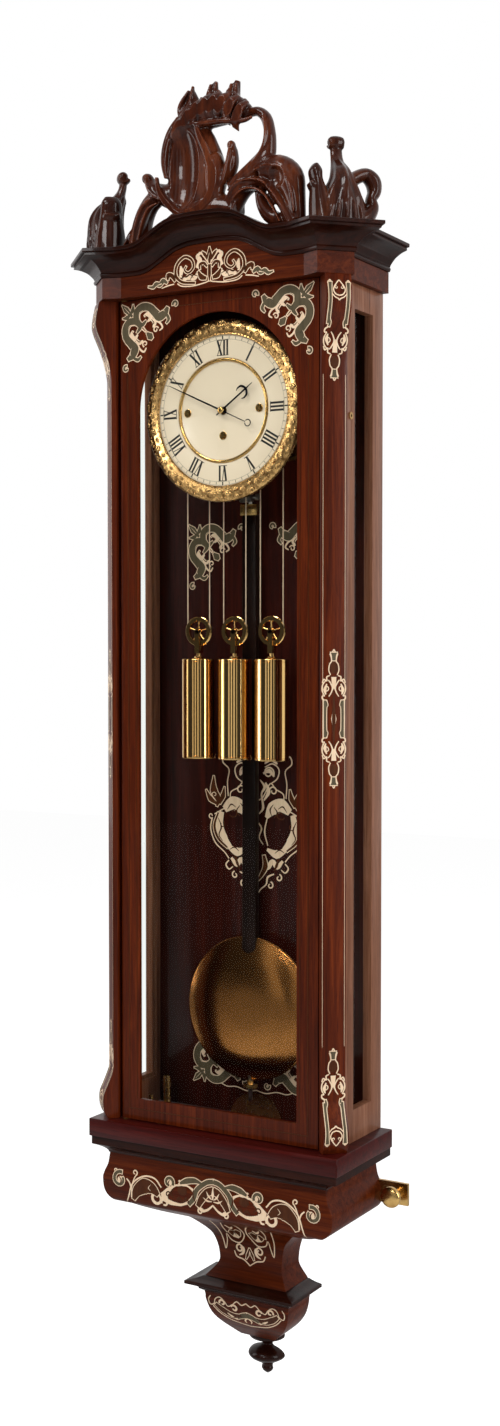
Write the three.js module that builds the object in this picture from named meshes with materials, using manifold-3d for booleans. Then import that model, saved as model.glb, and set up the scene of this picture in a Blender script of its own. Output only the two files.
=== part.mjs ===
// A three-weight wall regulator with a glazed door, a shaped drop base and a carved crest.
// Millimetres. X runs to the right, Y towards the wall, Z up. The back of the case is the plane Y = 0.
// Heights are counted from the top of the plinth slab, and the whole clock is then
// lowered so that the point where it hangs on its hook is the origin.

import * as THREE from 'three';
import * as BufferGeometryUtils from 'three/addons/utils/BufferGeometryUtils.js';
import Module from 'manifold-3d';

// Fits shared by all pieces
const seatGap = 0.3;
const runningGap = 0.3;
const overrun = 2;
const weldDistance = 0.00001;

// Facets
const fineSides = 32;
const roundSides = 20;
const smallSides = 10;
const lineSides = 8;
const limbSides = 8;

// Case
const caseHeight = 900;
const caseHalfWidth = 141.5;
const caseSideDepth = 90.5;
const sideThickness = 13;
const backBoardThickness = 12;
const sideWindowBack = 24;
const sideWindowDepth = 42;
const sideWindowMargin = 34.5;
const sideWindowTopMargin = 26.5;
const sideRebateWidth = 4;
const sideRebateDepth = 3.3;
const glassThickness = 2.5;

// Hanging plate let into the back board
const hookBelowTop = 20;
const hookHeight = caseHeight - hookBelowTop;
const hangingPlateWidth = 44;
const hangingPlateHeight = 50;
const hangingPlateThickness = 3;
const hangingPlateRise = 18;
const keySlotWidth = 6.4;
const keyHoleDiameter = 13;
const keyHoleDrop = 18;
const keyPocketWidth = 20;
const keyPocketDepth = 5;

// Pilasters, square bars standing cornerwise at the front of the case
const pilasterInnerInset = 15.3;
const pilasterInnerX = caseHalfWidth - pilasterInnerInset;
const pilasterBackY = 90.8;
const pilasterFrontY = 117.8;
const pilasterFrontInset = 11.4;
const pilasterFrontX = caseHalfWidth - pilasterFrontInset;
const pilasterFaceWidth = 27.15;
const pilasterNoseWidth = 5.5;
const pilasterBulge = 17;
const pilasterHeight = caseHeight;

// Plinth
const plinthOverhang = 13.7;
const plinthHalfWidth = caseHalfWidth + plinthOverhang;
const plinthDepth = 129.7;
const plinthThickness = 19.5;
const plinthMouldingHeight = 18.5;

// Shaped base, its neck, the bowl and the drop finial
const baseOverhang = 2.9;
const baseHalfWidth = caseHalfWidth + baseOverhang;
const baseDepth = 119;
const baseHeight = 143.7;
const bowlHalfWidth = 69.2;
const bowlHeight = 69.4;
const dropRadius = 22.2;
const dropHeight = 49;

// Frieze
const friezeHeight = 22.2;
const friezeOverhang = 6.5;
const friezeHalfWidth = caseHalfWidth + friezeOverhang;
const friezeBlockOverhang = 18.5;
const friezeBlockX = caseHalfWidth + friezeBlockOverhang;
const friezeBlockY = 103.7;
const friezeNoseInset = 9.3;
const friezeNoseX = caseHalfWidth - friezeNoseInset;
const friezeNoseY = 131.5;
const friezeFrontInset = 28.8;
const friezeFrontX = caseHalfWidth - friezeFrontInset;
const friezeFrontY = 124;
const friezePanelThickness = 16;
const serpentineRise = 24.6;
const serpentineInset = 22.7;
const serpentineHalfWidth = friezeFrontX - serpentineInset;

// Cornice
const corniceHeight = 27.5;
const corniceOverhang = 24.5;
const corniceSeatDepth = 18;
const topBoardThickness = 12;

// Crest
const crestHeight = 168;
const crestDepth = 32;
const crestPlaneY = 120;

// Corner finials
const finialHeight = 97;
const finialWidth = 80;
const finialDepth = 43;
const finialOverhang = 5.9;
const finialX = caseHalfWidth + finialOverhang;
const crestFinialGap = 37.4;
const crestWidth = 2 * (finialX - crestFinialGap);
const finialY = 101.4;
const finialStemOffset = 3.6;
const voluteRadius = 8.3;
const voluteWidth = 18;

// Door
const doorInset = 17.5;
const doorHalfWidth = caseHalfWidth - doorInset;
const doorFrontY = 112;
const doorThickness = 14;
const doorClearance = 1.2;
const doorStileWidth = 25.5;
const doorOpeningHalfWidth = doorHalfWidth - doorStileWidth;
const doorOpeningBottom = 25;
const doorTopRail = 23;
const doorArchCentreZ = caseHeight - doorTopRail - doorOpeningHalfWidth;
const doorLipThickness = 4;
const doorRebateWidth = 6;
const doorGlassInset = 5.7;
const pivotInset = 4.5;
const pivotX = doorHalfWidth - pivotInset;
const pivotY = 107.5;
const pivotRadius = 2;
const pivotBoreRadius = 2.35;
const pivotLength = 21.3;
const pivotCollarRadius = 4.5;
const pivotCollarThickness = 0.6;
const pivotDepthInCase = 12;

// Door lock
const lockBelowTop = 138;
const lockZ = caseHeight - lockBelowTop;
const keeperPlateThickness = 1.5;
const keeperPlateWidth = 13;
const keeperPlateHeight = 14;
const keeperPlateInset = 16;
const keeperPlateInnerX = doorHalfWidth - keeperPlateInset;
const keeperEarInset = 6;
const keeperEarX = doorHalfWidth - keeperEarInset;
const keeperEarThickness = 2;
const keeperPinY = 91;
const keeperPinRadius = 1.5;
const keeperPinOverhang = 1;
const keeperPinEndX = doorHalfWidth + keeperPinOverhang;
const catchPlateInset = 19.2;
const catchPlateX = caseHalfWidth - catchPlateInset;
const catchThickness = 2.4;
const catchSpindleY = 75.8;
const catchHubRadius = 5;
const catchSpindleRadius = 3;
const catchBoreRadius = 3.3;
const catchArmBottom = 2.3;
const catchArmTop = 6;
const catchNoseDepth = 2;
const catchNoseWidth = 2.5;
const catchReach = 19.7;
const catchHeadRadius = 4;
const catchHeadThickness = 1;
const catchKeySquare = 2.6;
const catchRestAngle = Math.PI / 3;

// Levelling screws low on the base
const levellerOverhang = 18.6;
const levellerX = baseHalfWidth + levellerOverhang;
const levellerZ = -68;
const levellerPlateInset = 24.4;
const levellerPlateInnerX = baseHalfWidth - levellerPlateInset;
const levellerPlateOverhang = 31.6;
const levellerPlateOuterX = baseHalfWidth + levellerPlateOverhang;
const levellerPlateHalfHeight = 12;
const levellerPlateThickness = 3.7;
const levellerPlateBack = 0.2;
const levellerBossRadius = 6;
const levellerBossFrontY = 10;
const levellerShankRadius = 2.5;
const levellerBoreRadius = 2.8;
const levellerShankLength = 16;
const levellerKnobRadius = 11.25;
const levellerKnobThickness = 8;

// Dial and bezel
const dialDropFromArch = 4;
const dialCentreZ = doorArchCentreZ - dialDropFromArch;
const bezelClearance = 1.5;
const bezelOuterRadius = doorOpeningHalfWidth - bezelClearance;
const bezelCoverWidth = 9;
const dialRadius = bezelOuterRadius - bezelCoverWidth;
const dialFrontY = 96;
const dialThickness = 3.5;
const dialRecessRadius = 56;
const dialRecessDepth = 1.2;
const dialRingOuterRadius = 55.8;
const dialRingInnerRadius = 52.2;
const dialRingThickness = 1.9;
const dialFootRadius = 2.5;
const dialFootAcrossShare = 0.625;
const dialFootX = dialRadius * dialFootAcrossShare;
const dialFootUpShare = 0.682;
const dialFootZ = dialRadius * dialFootUpShare;
const dialHoleRadius = 4;
const windingHoleRadius = 4.5;
const bezelFaceWidth = 17;
const bezelInnerRadius = bezelOuterRadius - bezelFaceWidth;
const bezelFrontY = 102.5;
const bezelLipThickness = 2.5;

// Movement plates
const plateHalfWidth = 66;
const plateDropFromDial = 52.5;
const plateBottom = dialCentreZ - plateDropFromDial;
const plateRiseFromDial = 73.5;
const plateTop = dialCentreZ + plateRiseFromDial;
const plateThickness = 2.5;
const frontPlateY = 86;
const backPlateY = 48;
const pillarRadius = 3.5;
const lowPillarDrop = 46.5;
const pillarLowZ = dialCentreZ - lowPillarDrop;
const pillarHighX = 58;
const highPillarRise = 63.5;
const pillarHighZ = dialCentreZ + highPillarRise;
const pivotPinRadius = 0.8;
const pivotHoleRadius = 1.3;

// Barrels
const barrelX = 44.5;
const goingBarrelDrop = 26.5;
const drumRadius = 13;
const drumFrontY = 74;
const drumBackY = 56;
const barrelFlangeRadius = 15;
const barrelFlangeThickness = 1.2;
const greatWheelRadius = 20;
const greatWheelTeeth = 36;
const greatWheelFrontY = 54.5;
const wheelThickness = 1.5;
const greatWheelThickness = 2.5;
const barrelArborRadius = 3;
const barrelBoreRadius = 3.4;
const windingSquare = 4.4;
const windingSquareEndY = 96.8;

// Going train
const centreArborRadius = 1.25;
const centreBoreRadius = 1.75;
const centreArborEndY = 103;
const centreWheelTeeth = 48;
const centreModule = 0.9;
const centreWheelFrontY = 82;
const thirdArborX = 14.9;
const thirdArborRise = 19.2;
const thirdArborZ = dialCentreZ + thirdArborRise;
const thirdWheelTeeth = 54;
const thirdModule = 0.75;
const thirdWheelFrontY = 78;
const pinionLeaves = 6;
const pinionMargin = 0.9;
const centrePinionLeaves = 8;
const centrePinionToothHeight = 1.8;
const trainArborRadius = 1.4;
const escapeArborRise = 36;
const escapeArborZ = dialCentreZ + escapeArborRise;
const escapeTeeth = 30;
const escapeRadius = 16;
const escapeRimRadius = 12.6;
const escapeWheelFrontY = 54;
const escapeWheelThickness = 2;

// Anchor, crutch and suspension
const anchorRise = 60;
const anchorZ = dialCentreZ + anchorRise;
const palletReach = 12.2;
const palletTipRise = 48.2;
const palletTipZ = dialCentreZ + palletTipRise;
const crutchFrontY = 42;
const crutchThickness = 3;
const crutchHalfWidth = 2;
const crutchBottomDrop = 84.5;
const crutchBottomZ = dialCentreZ - crutchBottomDrop;
const crutchBlockHalfWidth = 7;
const crutchBlockDepth = 8;
const crutchBlockHeight = 10;
const crutchScrewEndX = 15;
const crutchLeverEndX = 30;
const crutchScrewRadius = 1.5;
const crutchForkGap = 2.2;
const crutchForkThickness = 2;
const crutchForkLength = 10;

// Pendulum
const pendulumY = 28;
const springHalfThickness = 0.4;
const springWidth = 8;
const springTopRise = 63.2;
const springTopZ = dialCentreZ + springTopRise;
const springBottomRise = 45.5;
const springBottomZ = dialCentreZ + springBottomRise;
const upperRodRadius = 1.5;
const headPlateTopDrop = 95.5;
const headPlateTopZ = dialCentreZ - headPlateTopDrop;
const headPlateBottomDrop = 107.5;
const headPlateBottomZ = dialCentreZ - headPlateBottomDrop;
const headPlateWidth = 21;
const headPlateThickness = 12;
const woodRodWidth = 17;
const woodRodThickness = 9;
const woodRodBottomZ = 125;
const lowerRodRadius = 2.5;
const lowerRodTipZ = 18.8;
const bobRadius = 80;
const bobThickness = 24;
const bobCentreZ = 123;
const bobChannelWidth = 18;
const bobChannelDepth = 10;
const bobBoreRadius = 3.1;
const bobTravel = 4;
const nutRadius = 8.5;
const nutBottomZ = 35;
const nutThickness = 4;
const nutHubRadius = 4;
const nutBoreRadius = 2.9;

// Beat plate on the back board
const beatPlateHalfWidth = 33;
const beatPlateHeight = 25;
const beatPlateThickness = 2;

// Movement bracket
const bracketHalfWidth = 46;
const bracketBottomDrop = 39.5;
const bracketBottomZ = dialCentreZ - bracketBottomDrop;
const bracketTopRise = 75.5;
const bracketTopZ = dialCentreZ + bracketTopRise;
const bracketThickness = 3;
const bracketArmWidth = 8;
const bracketArmDrop = 29.5;
const bracketArmBottomZ = dialCentreZ - bracketArmDrop;
const bracketArmHeight = 12;
const studHalfWidth = 7;
const studHeight = 12;
const studLength = 18.7;

// Weights, pulleys and lines
const weightX = 46;
const weightY = 67;
const weightRadius = 19.25;
const weightTopDrop = 264.5;
const weightTopZ = dialCentreZ - weightTopDrop;
const weightHeight = 109;
const weightBottomZ = weightTopZ - weightHeight;
const weightCapThickness = 3;
const weightNeckRadius = 5;
const pulleyRise = 30;
const pulleyZ = weightTopZ + pulleyRise;
const pulleyPitchRadius = 14;
const pulleyRimRadius = 15.8;
const pulleyGrooveRadius = 13;
const pulleyRimInner = 11;
const pulleyHubRadius = 4;
const pulleyBoreRadius = 1.8;
const pulleyThickness = 5;
const pulleySpokes = 5;
const pulleySpokeWidth = 2;
const axleRadius = 1.5;
const stirrupWidth = 6;
const stirrupThickness = 1.5;
const stirrupHalfGap = 3.4;
const stirrupBridgeRise = 9;
const stirrupBridgeZ = weightTopZ + stirrupBridgeRise;
const stirrupBridgeThickness = 3;
const lineRadius = 0.7;
const lineArcSteps = 12;

// Winding crank standing on the case floor
const crankInset = 35.5;
const crankX = caseHalfWidth - crankInset;
const crankY = 35;
const crankShankRadius = 4.6;
const crankHeight = 36;
const crankArmThickness = 4;
const crankArmWidth = 8;
const crankHandleInset = 28.5;
const crankHandleX = caseHalfWidth - crankHandleInset;
const crankHandleY = 62;
const crankHandleRadius = 3;
const crankHandleTopZ = 18;
const crankSocketDepth = 14;

// Gong and hammer
const gongInset = 69.5;
const gongX = caseHalfWidth - gongInset;
const gongRise = 15.5;
const gongZ = dialCentreZ + gongRise;
const gongY = 31.5;
const gongRadius = 30;
const gongWireRadius = 1.4;
const gongPitch = 5;
const gongTurns = 3;
const gongStrikeShare = 0.75;
const gongStepsPerTurn = 16;
const gongWireSides = 5;
const gongBlockWidth = 14;
const gongBlockHeight = 14;
const gongBlockFrontY = 34;
const hammerX = 33;
const hammerRise = 60.5;
const hammerZ = dialCentreZ + hammerRise;
const hammerStudRadius = 1.6;
const hammerHubRadius = 3.5;
const hammerFrontY = 36;
const hammerArmLength = 38;
const hammerArmWidth = 2.4;
const hammerArmThickness = 2;
const hammerHeadRadius = 4;
const hammerHeadLength = 13;
const hammerHeadGap = 1;

// Hands
const hourHandLength = 46;
const hourHandAngle = 54.6;
const hourHandBackY = 98;
const hourPipeRadius = 3.5;
const hourPipeBore = 2.55;
const hourWheelRadius = 18;
const hourWheelTeeth = 30;
const hourWheelFrontY = 90.5;
const hourWheelThickness = 1.5;
const minuteHandClearance = 8;
const minuteHandLength = bezelInnerRadius - minuteHandClearance;
const minuteHandAngle = 295;
const minuteHandBackY = 100.2;
const minutePipeRadius = 2.25;
const minutePipeBore = 1.55;
const handThickness = 1;
const handWidth = 3;
const handRingRadius = 5;
const handRingBore = 3.2;
const handBossRadius = 4.6;
const minuteTailLength = 14;
const hourRingRadius = 6.5;
const hourRingBore = 4.2;
const hourBossRadius = 5.5;
const hourWheelToothHeight = 1.8;

// Section of the moulding under the plinth: width, depth and drop as shares of slab and moulding
const plinthLevelShares = [
  [1, 1, 0],
  [0.987, 0.985, 0],
  [0.987, 0.985, 0.5],
  [0.945, 0.955, 0.6],
  [0.905, 0.925, 0.74],
  [0.881, 0.908, 0.93],
  [0.881, 0.908, 1],
];

// Levels of the shaped base and its neck, as shares of its half width, depth and height
const baseLevelShares = [
  [0.939, 0.987, 0],
  [0.956, 0.992, 0.088],
  [0.985, 0.998, 0.15],
  [1, 1, 0.207],
  [0.983, 0.996, 0.304],
  [0.918, 0.983, 0.364],
  [0.845, 0.908, 0.388],
  [0.727, 0.782, 0.443],
  [0.596, 0.655, 0.492],
  [0.485, 0.546, 0.523],
  [0.409, 0.462, 0.582],
  [0.332, 0.387, 0.659],
  [0.298, 0.353, 0.736],
  [0.28, 0.336, 0.826],
  [0.284, 0.345, 0.903],
  [0.357, 0.437, 1],
];

// Levels of the neck moulding and the bowl, as shares of the bowl's half width and height
const bowlLevelShares = [
  [0.766, 0.766, 0],
  [0.87, 0.88, 0.032],
  [1, 1, 0.053],
  [1, 1, 0.104],
  [0.925, 0.91, 0.14],
  [0.853, 0.824, 0.183],
  [0.838, 0.809, 0.212],
  [0.783, 0.723, 0.267],
  [0.766, 0.708, 0.399],
  [0.723, 0.665, 0.557],
  [0.65, 0.607, 0.687],
  [0.549, 0.52, 0.803],
  [0.419, 0.419, 0.918],
  [0.318, 0.347, 1],
];

// Profile of the drop finial, as shares of its radius and height
const dropProfileShares = [
  [1, 0],
  [1, 0.05],
  [0.9, 0.12],
  [0.54, 0.18],
  [0.32, 0.24],
  [0.32, 0.31],
  [0.63, 0.36],
  [0.9, 0.43],
  [1, 0.51],
  [0.9, 0.59],
  [0.63, 0.67],
  [0.36, 0.74],
  [0.29, 0.8],
  [0.32, 0.86],
  [0.22, 0.94],
];

// Swelling of the pilaster's front face, as shares of its bulge and height
const pilasterBulgeShares = [
  [0.35, 0],
  [0.53, 0.0055],
  [0.65, 0.013],
  [0.68, 0.022],
  [0.62, 0.03],
  [0.44, 0.038],
  [0.24, 0.047],
  [0, 0.058],
  [0, 0.909],
  [0.18, 0.926],
  [0.53, 0.946],
  [0.92, 0.964],
  [1, 0.976],
  [0.82, 0.996],
  [0.74, 1],
];

// Cornice section, as shares of its overhang and height
const corniceProfileShares = [
  [0.06, 0],
  [0.1, 0.1],
  [0.06, 0.18],
  [0.14, 0.3],
  [0.34, 0.5],
  [0.62, 0.66],
  [0.86, 0.74],
  [0.88, 0.84],
  [1, 0.88],
  [1, 1],
];

// Rise of the serpentine, as shares of its half width and rise
const serpentineShares = [
  [0, 1],
  [0.18, 1],
  [0.34, 0.935],
  [0.5, 0.772],
  [0.69, 0.406],
  [0.856, 0.102],
  [1, 0],
];

// Limbs of the crest: each point gives x, height and half width as shares of the crest's
// width, height and width, and half depth as a share of its depth
const crestLimbShares = [
  [
    [-0.08, 0.12, 0.05, 0.34], [-0.08, 0.24, 0.11, 0.4], [-0.075, 0.33, 0.16, 0.46],
    [-0.085, 0.45, 0.158, 0.5], [-0.1, 0.57, 0.135, 0.46], [-0.11, 0.67, 0.11, 0.42],
    [-0.105, 0.79, 0.075, 0.34], [-0.1, 0.86, 0.04, 0.2], [-0.1, 0.94, 0.008, 0.06],
  ],
  [
    [-0.12, 0.76, 0.055, 0.36], [-0.02, 0.785, 0.075, 0.46], [0.07, 0.785, 0.07, 0.44],
    [0.15, 0.775, 0.058, 0.36], [0.215, 0.735, 0.03, 0.2],
  ],
  [
    [-0.005, 0.82, 0.03, 0.2], [0.008, 0.91, 0.024, 0.16], [0.032, 0.97, 0.008, 0.08],
  ],
  [
    [0.125, 0.81, 0.03, 0.2], [0.135, 0.89, 0.024, 0.16], [0.147, 0.95, 0.014, 0.1],
  ],
  [
    [0.2, 0.735, 0.018, 0.16], [0.255, 0.74, 0.022, 0.22], [0.3, 0.695, 0.026, 0.24],
    [0.32, 0.61, 0.026, 0.24], [0.318, 0.53, 0.034, 0.26], [0.3, 0.455, 0.045, 0.3],
    [0.25, 0.4, 0.045, 0.34], [0.19, 0.35, 0.04, 0.36], [0.13, 0.28, 0.05, 0.38],
  ],
  [
    [0.28, 0.37, 0.045, 0.34], [0.36, 0.37, 0.068, 0.42], [0.425, 0.3, 0.075, 0.42],
    [0.455, 0.19, 0.052, 0.34], [0.475, 0.04, 0.034, 0.26],
  ],
  [
    [0.11, 0.17, 0.045, 0.4], [0.18, 0.275, 0.034, 0.38], [0.26, 0.305, 0.027, 0.36],
    [0.32, 0.28, 0.026, 0.36], [0.37, 0.2, 0.026, 0.36], [0.415, 0.11, 0.026, 0.36],
    [0.45, 0.02, 0.03, 0.36],
  ],
  [
    [0.08, 0.34, 0.03, 0.26], [0.118, 0.44, 0.028, 0.24], [0.123, 0.52, 0.02, 0.2],
    [0.118, 0.555, 0.014, 0.14],
  ],
  [
    [-0.22, 0.1, 0.06, 0.4], [-0.1, 0.16, 0.075, 0.46], [0.04, 0.17, 0.08, 0.46],
    [0.15, 0.14, 0.065, 0.42],
  ],
  [
    [-0.35, 0.43, 0.022, 0.2], [-0.33, 0.375, 0.034, 0.28], [-0.28, 0.33, 0.05, 0.34],
    [-0.22, 0.3, 0.06, 0.38], [-0.14, 0.26, 0.06, 0.38],
  ],
  [
    [-0.3, 0.32, 0.045, 0.32], [-0.35, 0.27, 0.042, 0.34], [-0.385, 0.19, 0.045, 0.36],
    [-0.405, 0.1, 0.05, 0.36], [-0.43, 0.02, 0.042, 0.3],
  ],
  [
    [-0.4, 0.13, 0.035, 0.3], [-0.455, 0.09, 0.024, 0.22], [-0.5, 0.04, 0.008, 0.1],
  ],
  [
    [0.27, 0.26, 0.024, 0.24], [0.285, 0.17, 0.03, 0.28], [0.32, 0.1, 0.036, 0.28],
    [0.37, 0.06, 0.034, 0.26], [0.42, 0.04, 0.02, 0.2],
  ],
];

// Body and stem of a corner finial, seen from its side: place outwards, height, half thickness
// and half breadth, as shares of the finial's depth, height, depth and width
const finialBodyShares = [
  [0.04, 0.01, 0.42, 0.36],
  [0.05, 0.18, 0.48, 0.32],
  [0.03, 0.34, 0.48, 0.24],
  [0, 0.46, 0.45, 0.16],
  [-0.1, 0.57, 0.38, 0.12],
  [-0.24, 0.65, 0.27, 0.095],
  [-0.32, 0.705, 0.16, 0.085],
  [-0.4, 0.79, 0.115, 0.08],
  [-0.43, 0.9, 0.1, 0.08],
];

// Scrolls of a corner finial, seen from its front: place along its width, height, half width
// and half depth, as shares of the width, height, width and depth
const finialScrollShares = [
  [
    [0.02, 0.41, 0.1, 0.3], [0.12, 0.49, 0.09, 0.28], [0.27, 0.54, 0.085, 0.26],
    [0.375, 0.475, 0.1, 0.26], [0.395, 0.37, 0.088, 0.24], [0.35, 0.28, 0.07, 0.24],
    [0.36, 0.19, 0.09, 0.28], [0.25, 0.08, 0.13, 0.36], [0.12, 0.03, 0.12, 0.4],
  ],
  [
    [-0.26, 0.05, 0.22, 0.42], [-0.32, 0.2, 0.15, 0.38], [-0.35, 0.34, 0.11, 0.32],
    [-0.375, 0.45, 0.078, 0.28], [-0.39, 0.55, 0.085, 0.26], [-0.39, 0.62, 0.03, 0.16],
  ],
  [
    [-0.3, 0.3, 0.08, 0.26], [-0.41, 0.38, 0.062, 0.24], [-0.46, 0.43, 0.04, 0.2],
  ],
];
const finialVoluteShares = [-0.42, 0.915];

// Profile of a levelling screw's head, as shares of its radius and thickness
const knobProfileShares = [
  [0, 0],
  [0.92, 0],
  [1, 0.17],
  [1, 0.5],
  [0.72, 0.86],
  [0, 1],
];

// Crown of the bezel, as shares of its width and of its height over the dial
const bezelCrownShares = [
  [0.25, 0],
  [0.75, 0.14],
];

// Half width of a tooth at its root, as a share of the pitch, and the tooth's depth below and
// above the pitch circle as shares of the module
const toothRootShare = 0.27;
const dedendumShare = 1.1;
const addendumShare = 0.8;

// Places within one pitch: a pinion's space, and the escape wheel's tips and roots
const gapPhaseShare = 0.5;
const escapeTipShare = 0.25;
const escapeRootShare = 0.7;

// Right half of the anchor, as shares of the pallets' reach and the height of its arms
const anchorOutlineShares = [
  [0, 0.34],
  [0.6, 0.12],
  [1.3, -0.42],
  [1.28, -0.95],
  [1.06, -1],
  [1, -1],
  [1, -0.62],
  [0.5, -0.28],
  [0, -0.26],
];

// Section of the bob, as shares of its radius and half thickness
const bobProfileShares = [
  [0, -1],
  [0.45, -0.9],
  [0.8, -0.55],
  [1, -0.125],
  [1, 0.125],
  [0.8, 0.55],
  [0.45, 0.9],
  [0, 1],
];

// Right edges of the hands from boss to tip, as shares of their width and length, and their rings
const minuteBladeShares = [
  [0.5, 0],
  [0.33, 0.55],
  [1, 0.59],
  [0.17, 1],
];
const hourBladeShares = [
  [0.6, 0],
  [0.5, 0.5],
  [1.2, 0.8],
  [0, 1],
];
const minuteRingShare = 0.42;
const hourRingShare = 0.5;

// Colours, roughness and metalness of the finishes
const finishes = {
  veneer: [0x5a2413, 0.32, 0],
  ebonised: [0x1a0f0b, 0.3, 0],
  carvedWood: [0x4a1e10, 0.3, 0],
  brass: [0xb08d3c, 0.32, 1],
  castGilt: [0xb9913e, 0.35, 1],
  enamel: [0xf3efe2, 0.22, 0],
  steel: [0x8a8d90, 0.35, 1],
  blackSteel: [0x15151a, 0.35, 0.6],
  glass: [0xdfe8e6, 0.05, 0],
  gut: [0x9a7a45, 0.7, 0],
};

const wasm = await Module();
wasm.setup();

const clock = new THREE.Group();
clock.position.z = -hookHeight;

function solidOf(geometry) {
  const bare = geometry.clone();
  bare.deleteAttribute('normal');
  bare.deleteAttribute('uv');
  const welded = BufferGeometryUtils.mergeVertices(bare, weldDistance);
  const vertProperties = welded.attributes.position.array;
  const triVerts = new Uint32Array(welded.index.array);
  return new wasm.Manifold(new wasm.Mesh({ numProp: 3, vertProperties, triVerts }));
}

function geometryOf(solid) {
  const mesh = solid.getMesh();
  const geometry = new THREE.BufferGeometry();
  geometry.setAttribute('position', new THREE.BufferAttribute(mesh.vertProperties, 3));
  geometry.setIndex(new THREE.BufferAttribute(mesh.triVerts, 1));
  return geometry;
}

function join(...geometries) {
  let whole = solidOf(geometries[0]);
  for (const geometry of geometries.slice(1)) {
    whole = whole.add(solidOf(geometry));
  }
  return geometryOf(whole);
}

function cut(geometry, ...tools) {
  let whole = solidOf(geometry);
  for (const tool of tools) {
    whole = whole.subtract(solidOf(tool));
  }
  return geometryOf(whole);
}

function put(name, finish, geometry) {
  const [color, roughness, metalness] = finishes[finish];
  const mesh = new THREE.Mesh(geometry, new THREE.MeshStandardMaterial({ color, roughness,
    metalness }));
  mesh.name = name;
  clock.add(mesh);
  return mesh;
}

function block(x0, x1, y0, y1, z0, z1) {
  const geometry = new THREE.BoxGeometry(x1 - x0, y1 - y0, z1 - z0);
  return geometry.translate((x0 + x1) / 2, (y0 + y1) / 2, (z0 + z1) / 2);
}

// A round bar along Z, Y or X between two places
function barZ(x, y, z0, z1, radius, sides = smallSides) {
  const geometry = new THREE.CylinderGeometry(radius, radius, z1 - z0, sides);
  return geometry.rotateX(Math.PI / 2).translate(x, y, (z0 + z1) / 2);
}

function barY(x, z, y0, y1, radius, sides = smallSides) {
  const geometry = new THREE.CylinderGeometry(radius, radius, y1 - y0, sides);
  return geometry.translate(x, (y0 + y1) / 2, z);
}

function barX(y, z, x0, x1, radius, sides = smallSides) {
  const geometry = new THREE.CylinderGeometry(radius, radius, x1 - x0, sides);
  return geometry.rotateZ(Math.PI / 2).translate((x0 + x1) / 2, y, z);
}

// A plate whose outline is drawn in X and Z, from y0 to y1
function plateXZ(shape, y0, y1, curveSegments = smallSides) {
  const geometry = new THREE.ExtrudeGeometry(shape, { depth: y1 - y0, bevelEnabled: false,
    curveSegments });
  return geometry.rotateX(Math.PI / 2).translate(0, y1, 0);
}

// A plate whose outline is drawn in Y and Z, from x0 to x1
function plateYZ(shape, x0, x1) {
  const geometry = new THREE.ExtrudeGeometry(shape, { depth: x1 - x0, bevelEnabled: false });
  const turn = new THREE.Matrix4().makeBasis(
    new THREE.Vector3(0, 1, 0),
    new THREE.Vector3(0, 0, 1),
    new THREE.Vector3(1, 0, 0),
  );
  return geometry.applyMatrix4(turn).translate(x0, 0, 0);
}

// A plate whose outline is drawn in X and Y, from z0 to z1
function plateXY(shape, z0, z1) {
  const geometry = new THREE.ExtrudeGeometry(shape, { depth: z1 - z0, bevelEnabled: false });
  return geometry.translate(0, 0, z0);
}

function polygon(points) {
  return new THREE.Shape(points.map(([x, y]) => new THREE.Vector2(x, y)));
}

function discShape(radius, hole = 0, sides = fineSides) {
  const shape = polygon(circlePoints(radius, sides));
  if (hole > 0) {
    shape.holes.push(polygon(circlePoints(hole, sides)));
  }
  return shape;
}

function circlePoints(radius, sides) {
  const points = [];
  for (let i = 0; i < sides; i += 1) {
    const angle = (2 * Math.PI * i) / sides;
    points.push([radius * Math.cos(angle), radius * Math.sin(angle)]);
  }
  return points;
}

// A disc or washer about a Y axis through x, z
function ringY(x, z, y0, y1, radius, hole = 0, sides = fineSides) {
  return plateXZ(discShape(radius, hole, sides), y0, y1).translate(x, 0, z);
}

// A closed skin through rings that all have as many points, its two ends capped
function loft(rings) {
  const count = rings[0].length;
  const positions = [];
  for (const ring of rings) {
    for (const point of ring) {
      positions.push(point.x, point.y, point.z);
    }
  }
  const index = [];
  for (let r = 0; r + 1 < rings.length; r += 1) {
    for (let i = 0; i < count; i += 1) {
      const a = r * count + i;
      const b = r * count + ((i + 1) % count);
      index.push(a, b, b + count, a, b + count, a + count);
    }
  }
  const last = (rings.length - 1) * count;
  for (const [a, b, c] of capTriangles(rings[0])) {
    index.push(a, c, b);
  }
  for (const [a, b, c] of capTriangles(rings[rings.length - 1])) {
    index.push(last + a, last + b, last + c);
  }
  const geometry = new THREE.BufferGeometry();
  geometry.setAttribute('position', new THREE.Float32BufferAttribute(positions, 3));
  geometry.setIndex(index);
  return outward(geometry);
}

// Triangles over a flat ring, which keep the ring's own direction
function capTriangles(ring) {
  const normal = new THREE.Vector3();
  const corner = new THREE.Vector3();
  for (let i = 0; i < ring.length; i += 1) {
    normal.add(corner.crossVectors(ring[i], ring[(i + 1) % ring.length]));
  }
  normal.normalize();
  const across = Math.abs(normal.x) > Math.SQRT1_2 ? new THREE.Vector3(0, 1,
    0) : new THREE.Vector3(1, 0, 0);
  across.addScaledVector(normal, -across.dot(normal)).normalize();
  const up = new THREE.Vector3().crossVectors(normal, across);
  const flat = ring.map((point) => new THREE.Vector2(point.dot(across), point.dot(up)));
  return THREE.ShapeUtils.triangulateShape(flat, []);
}

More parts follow.
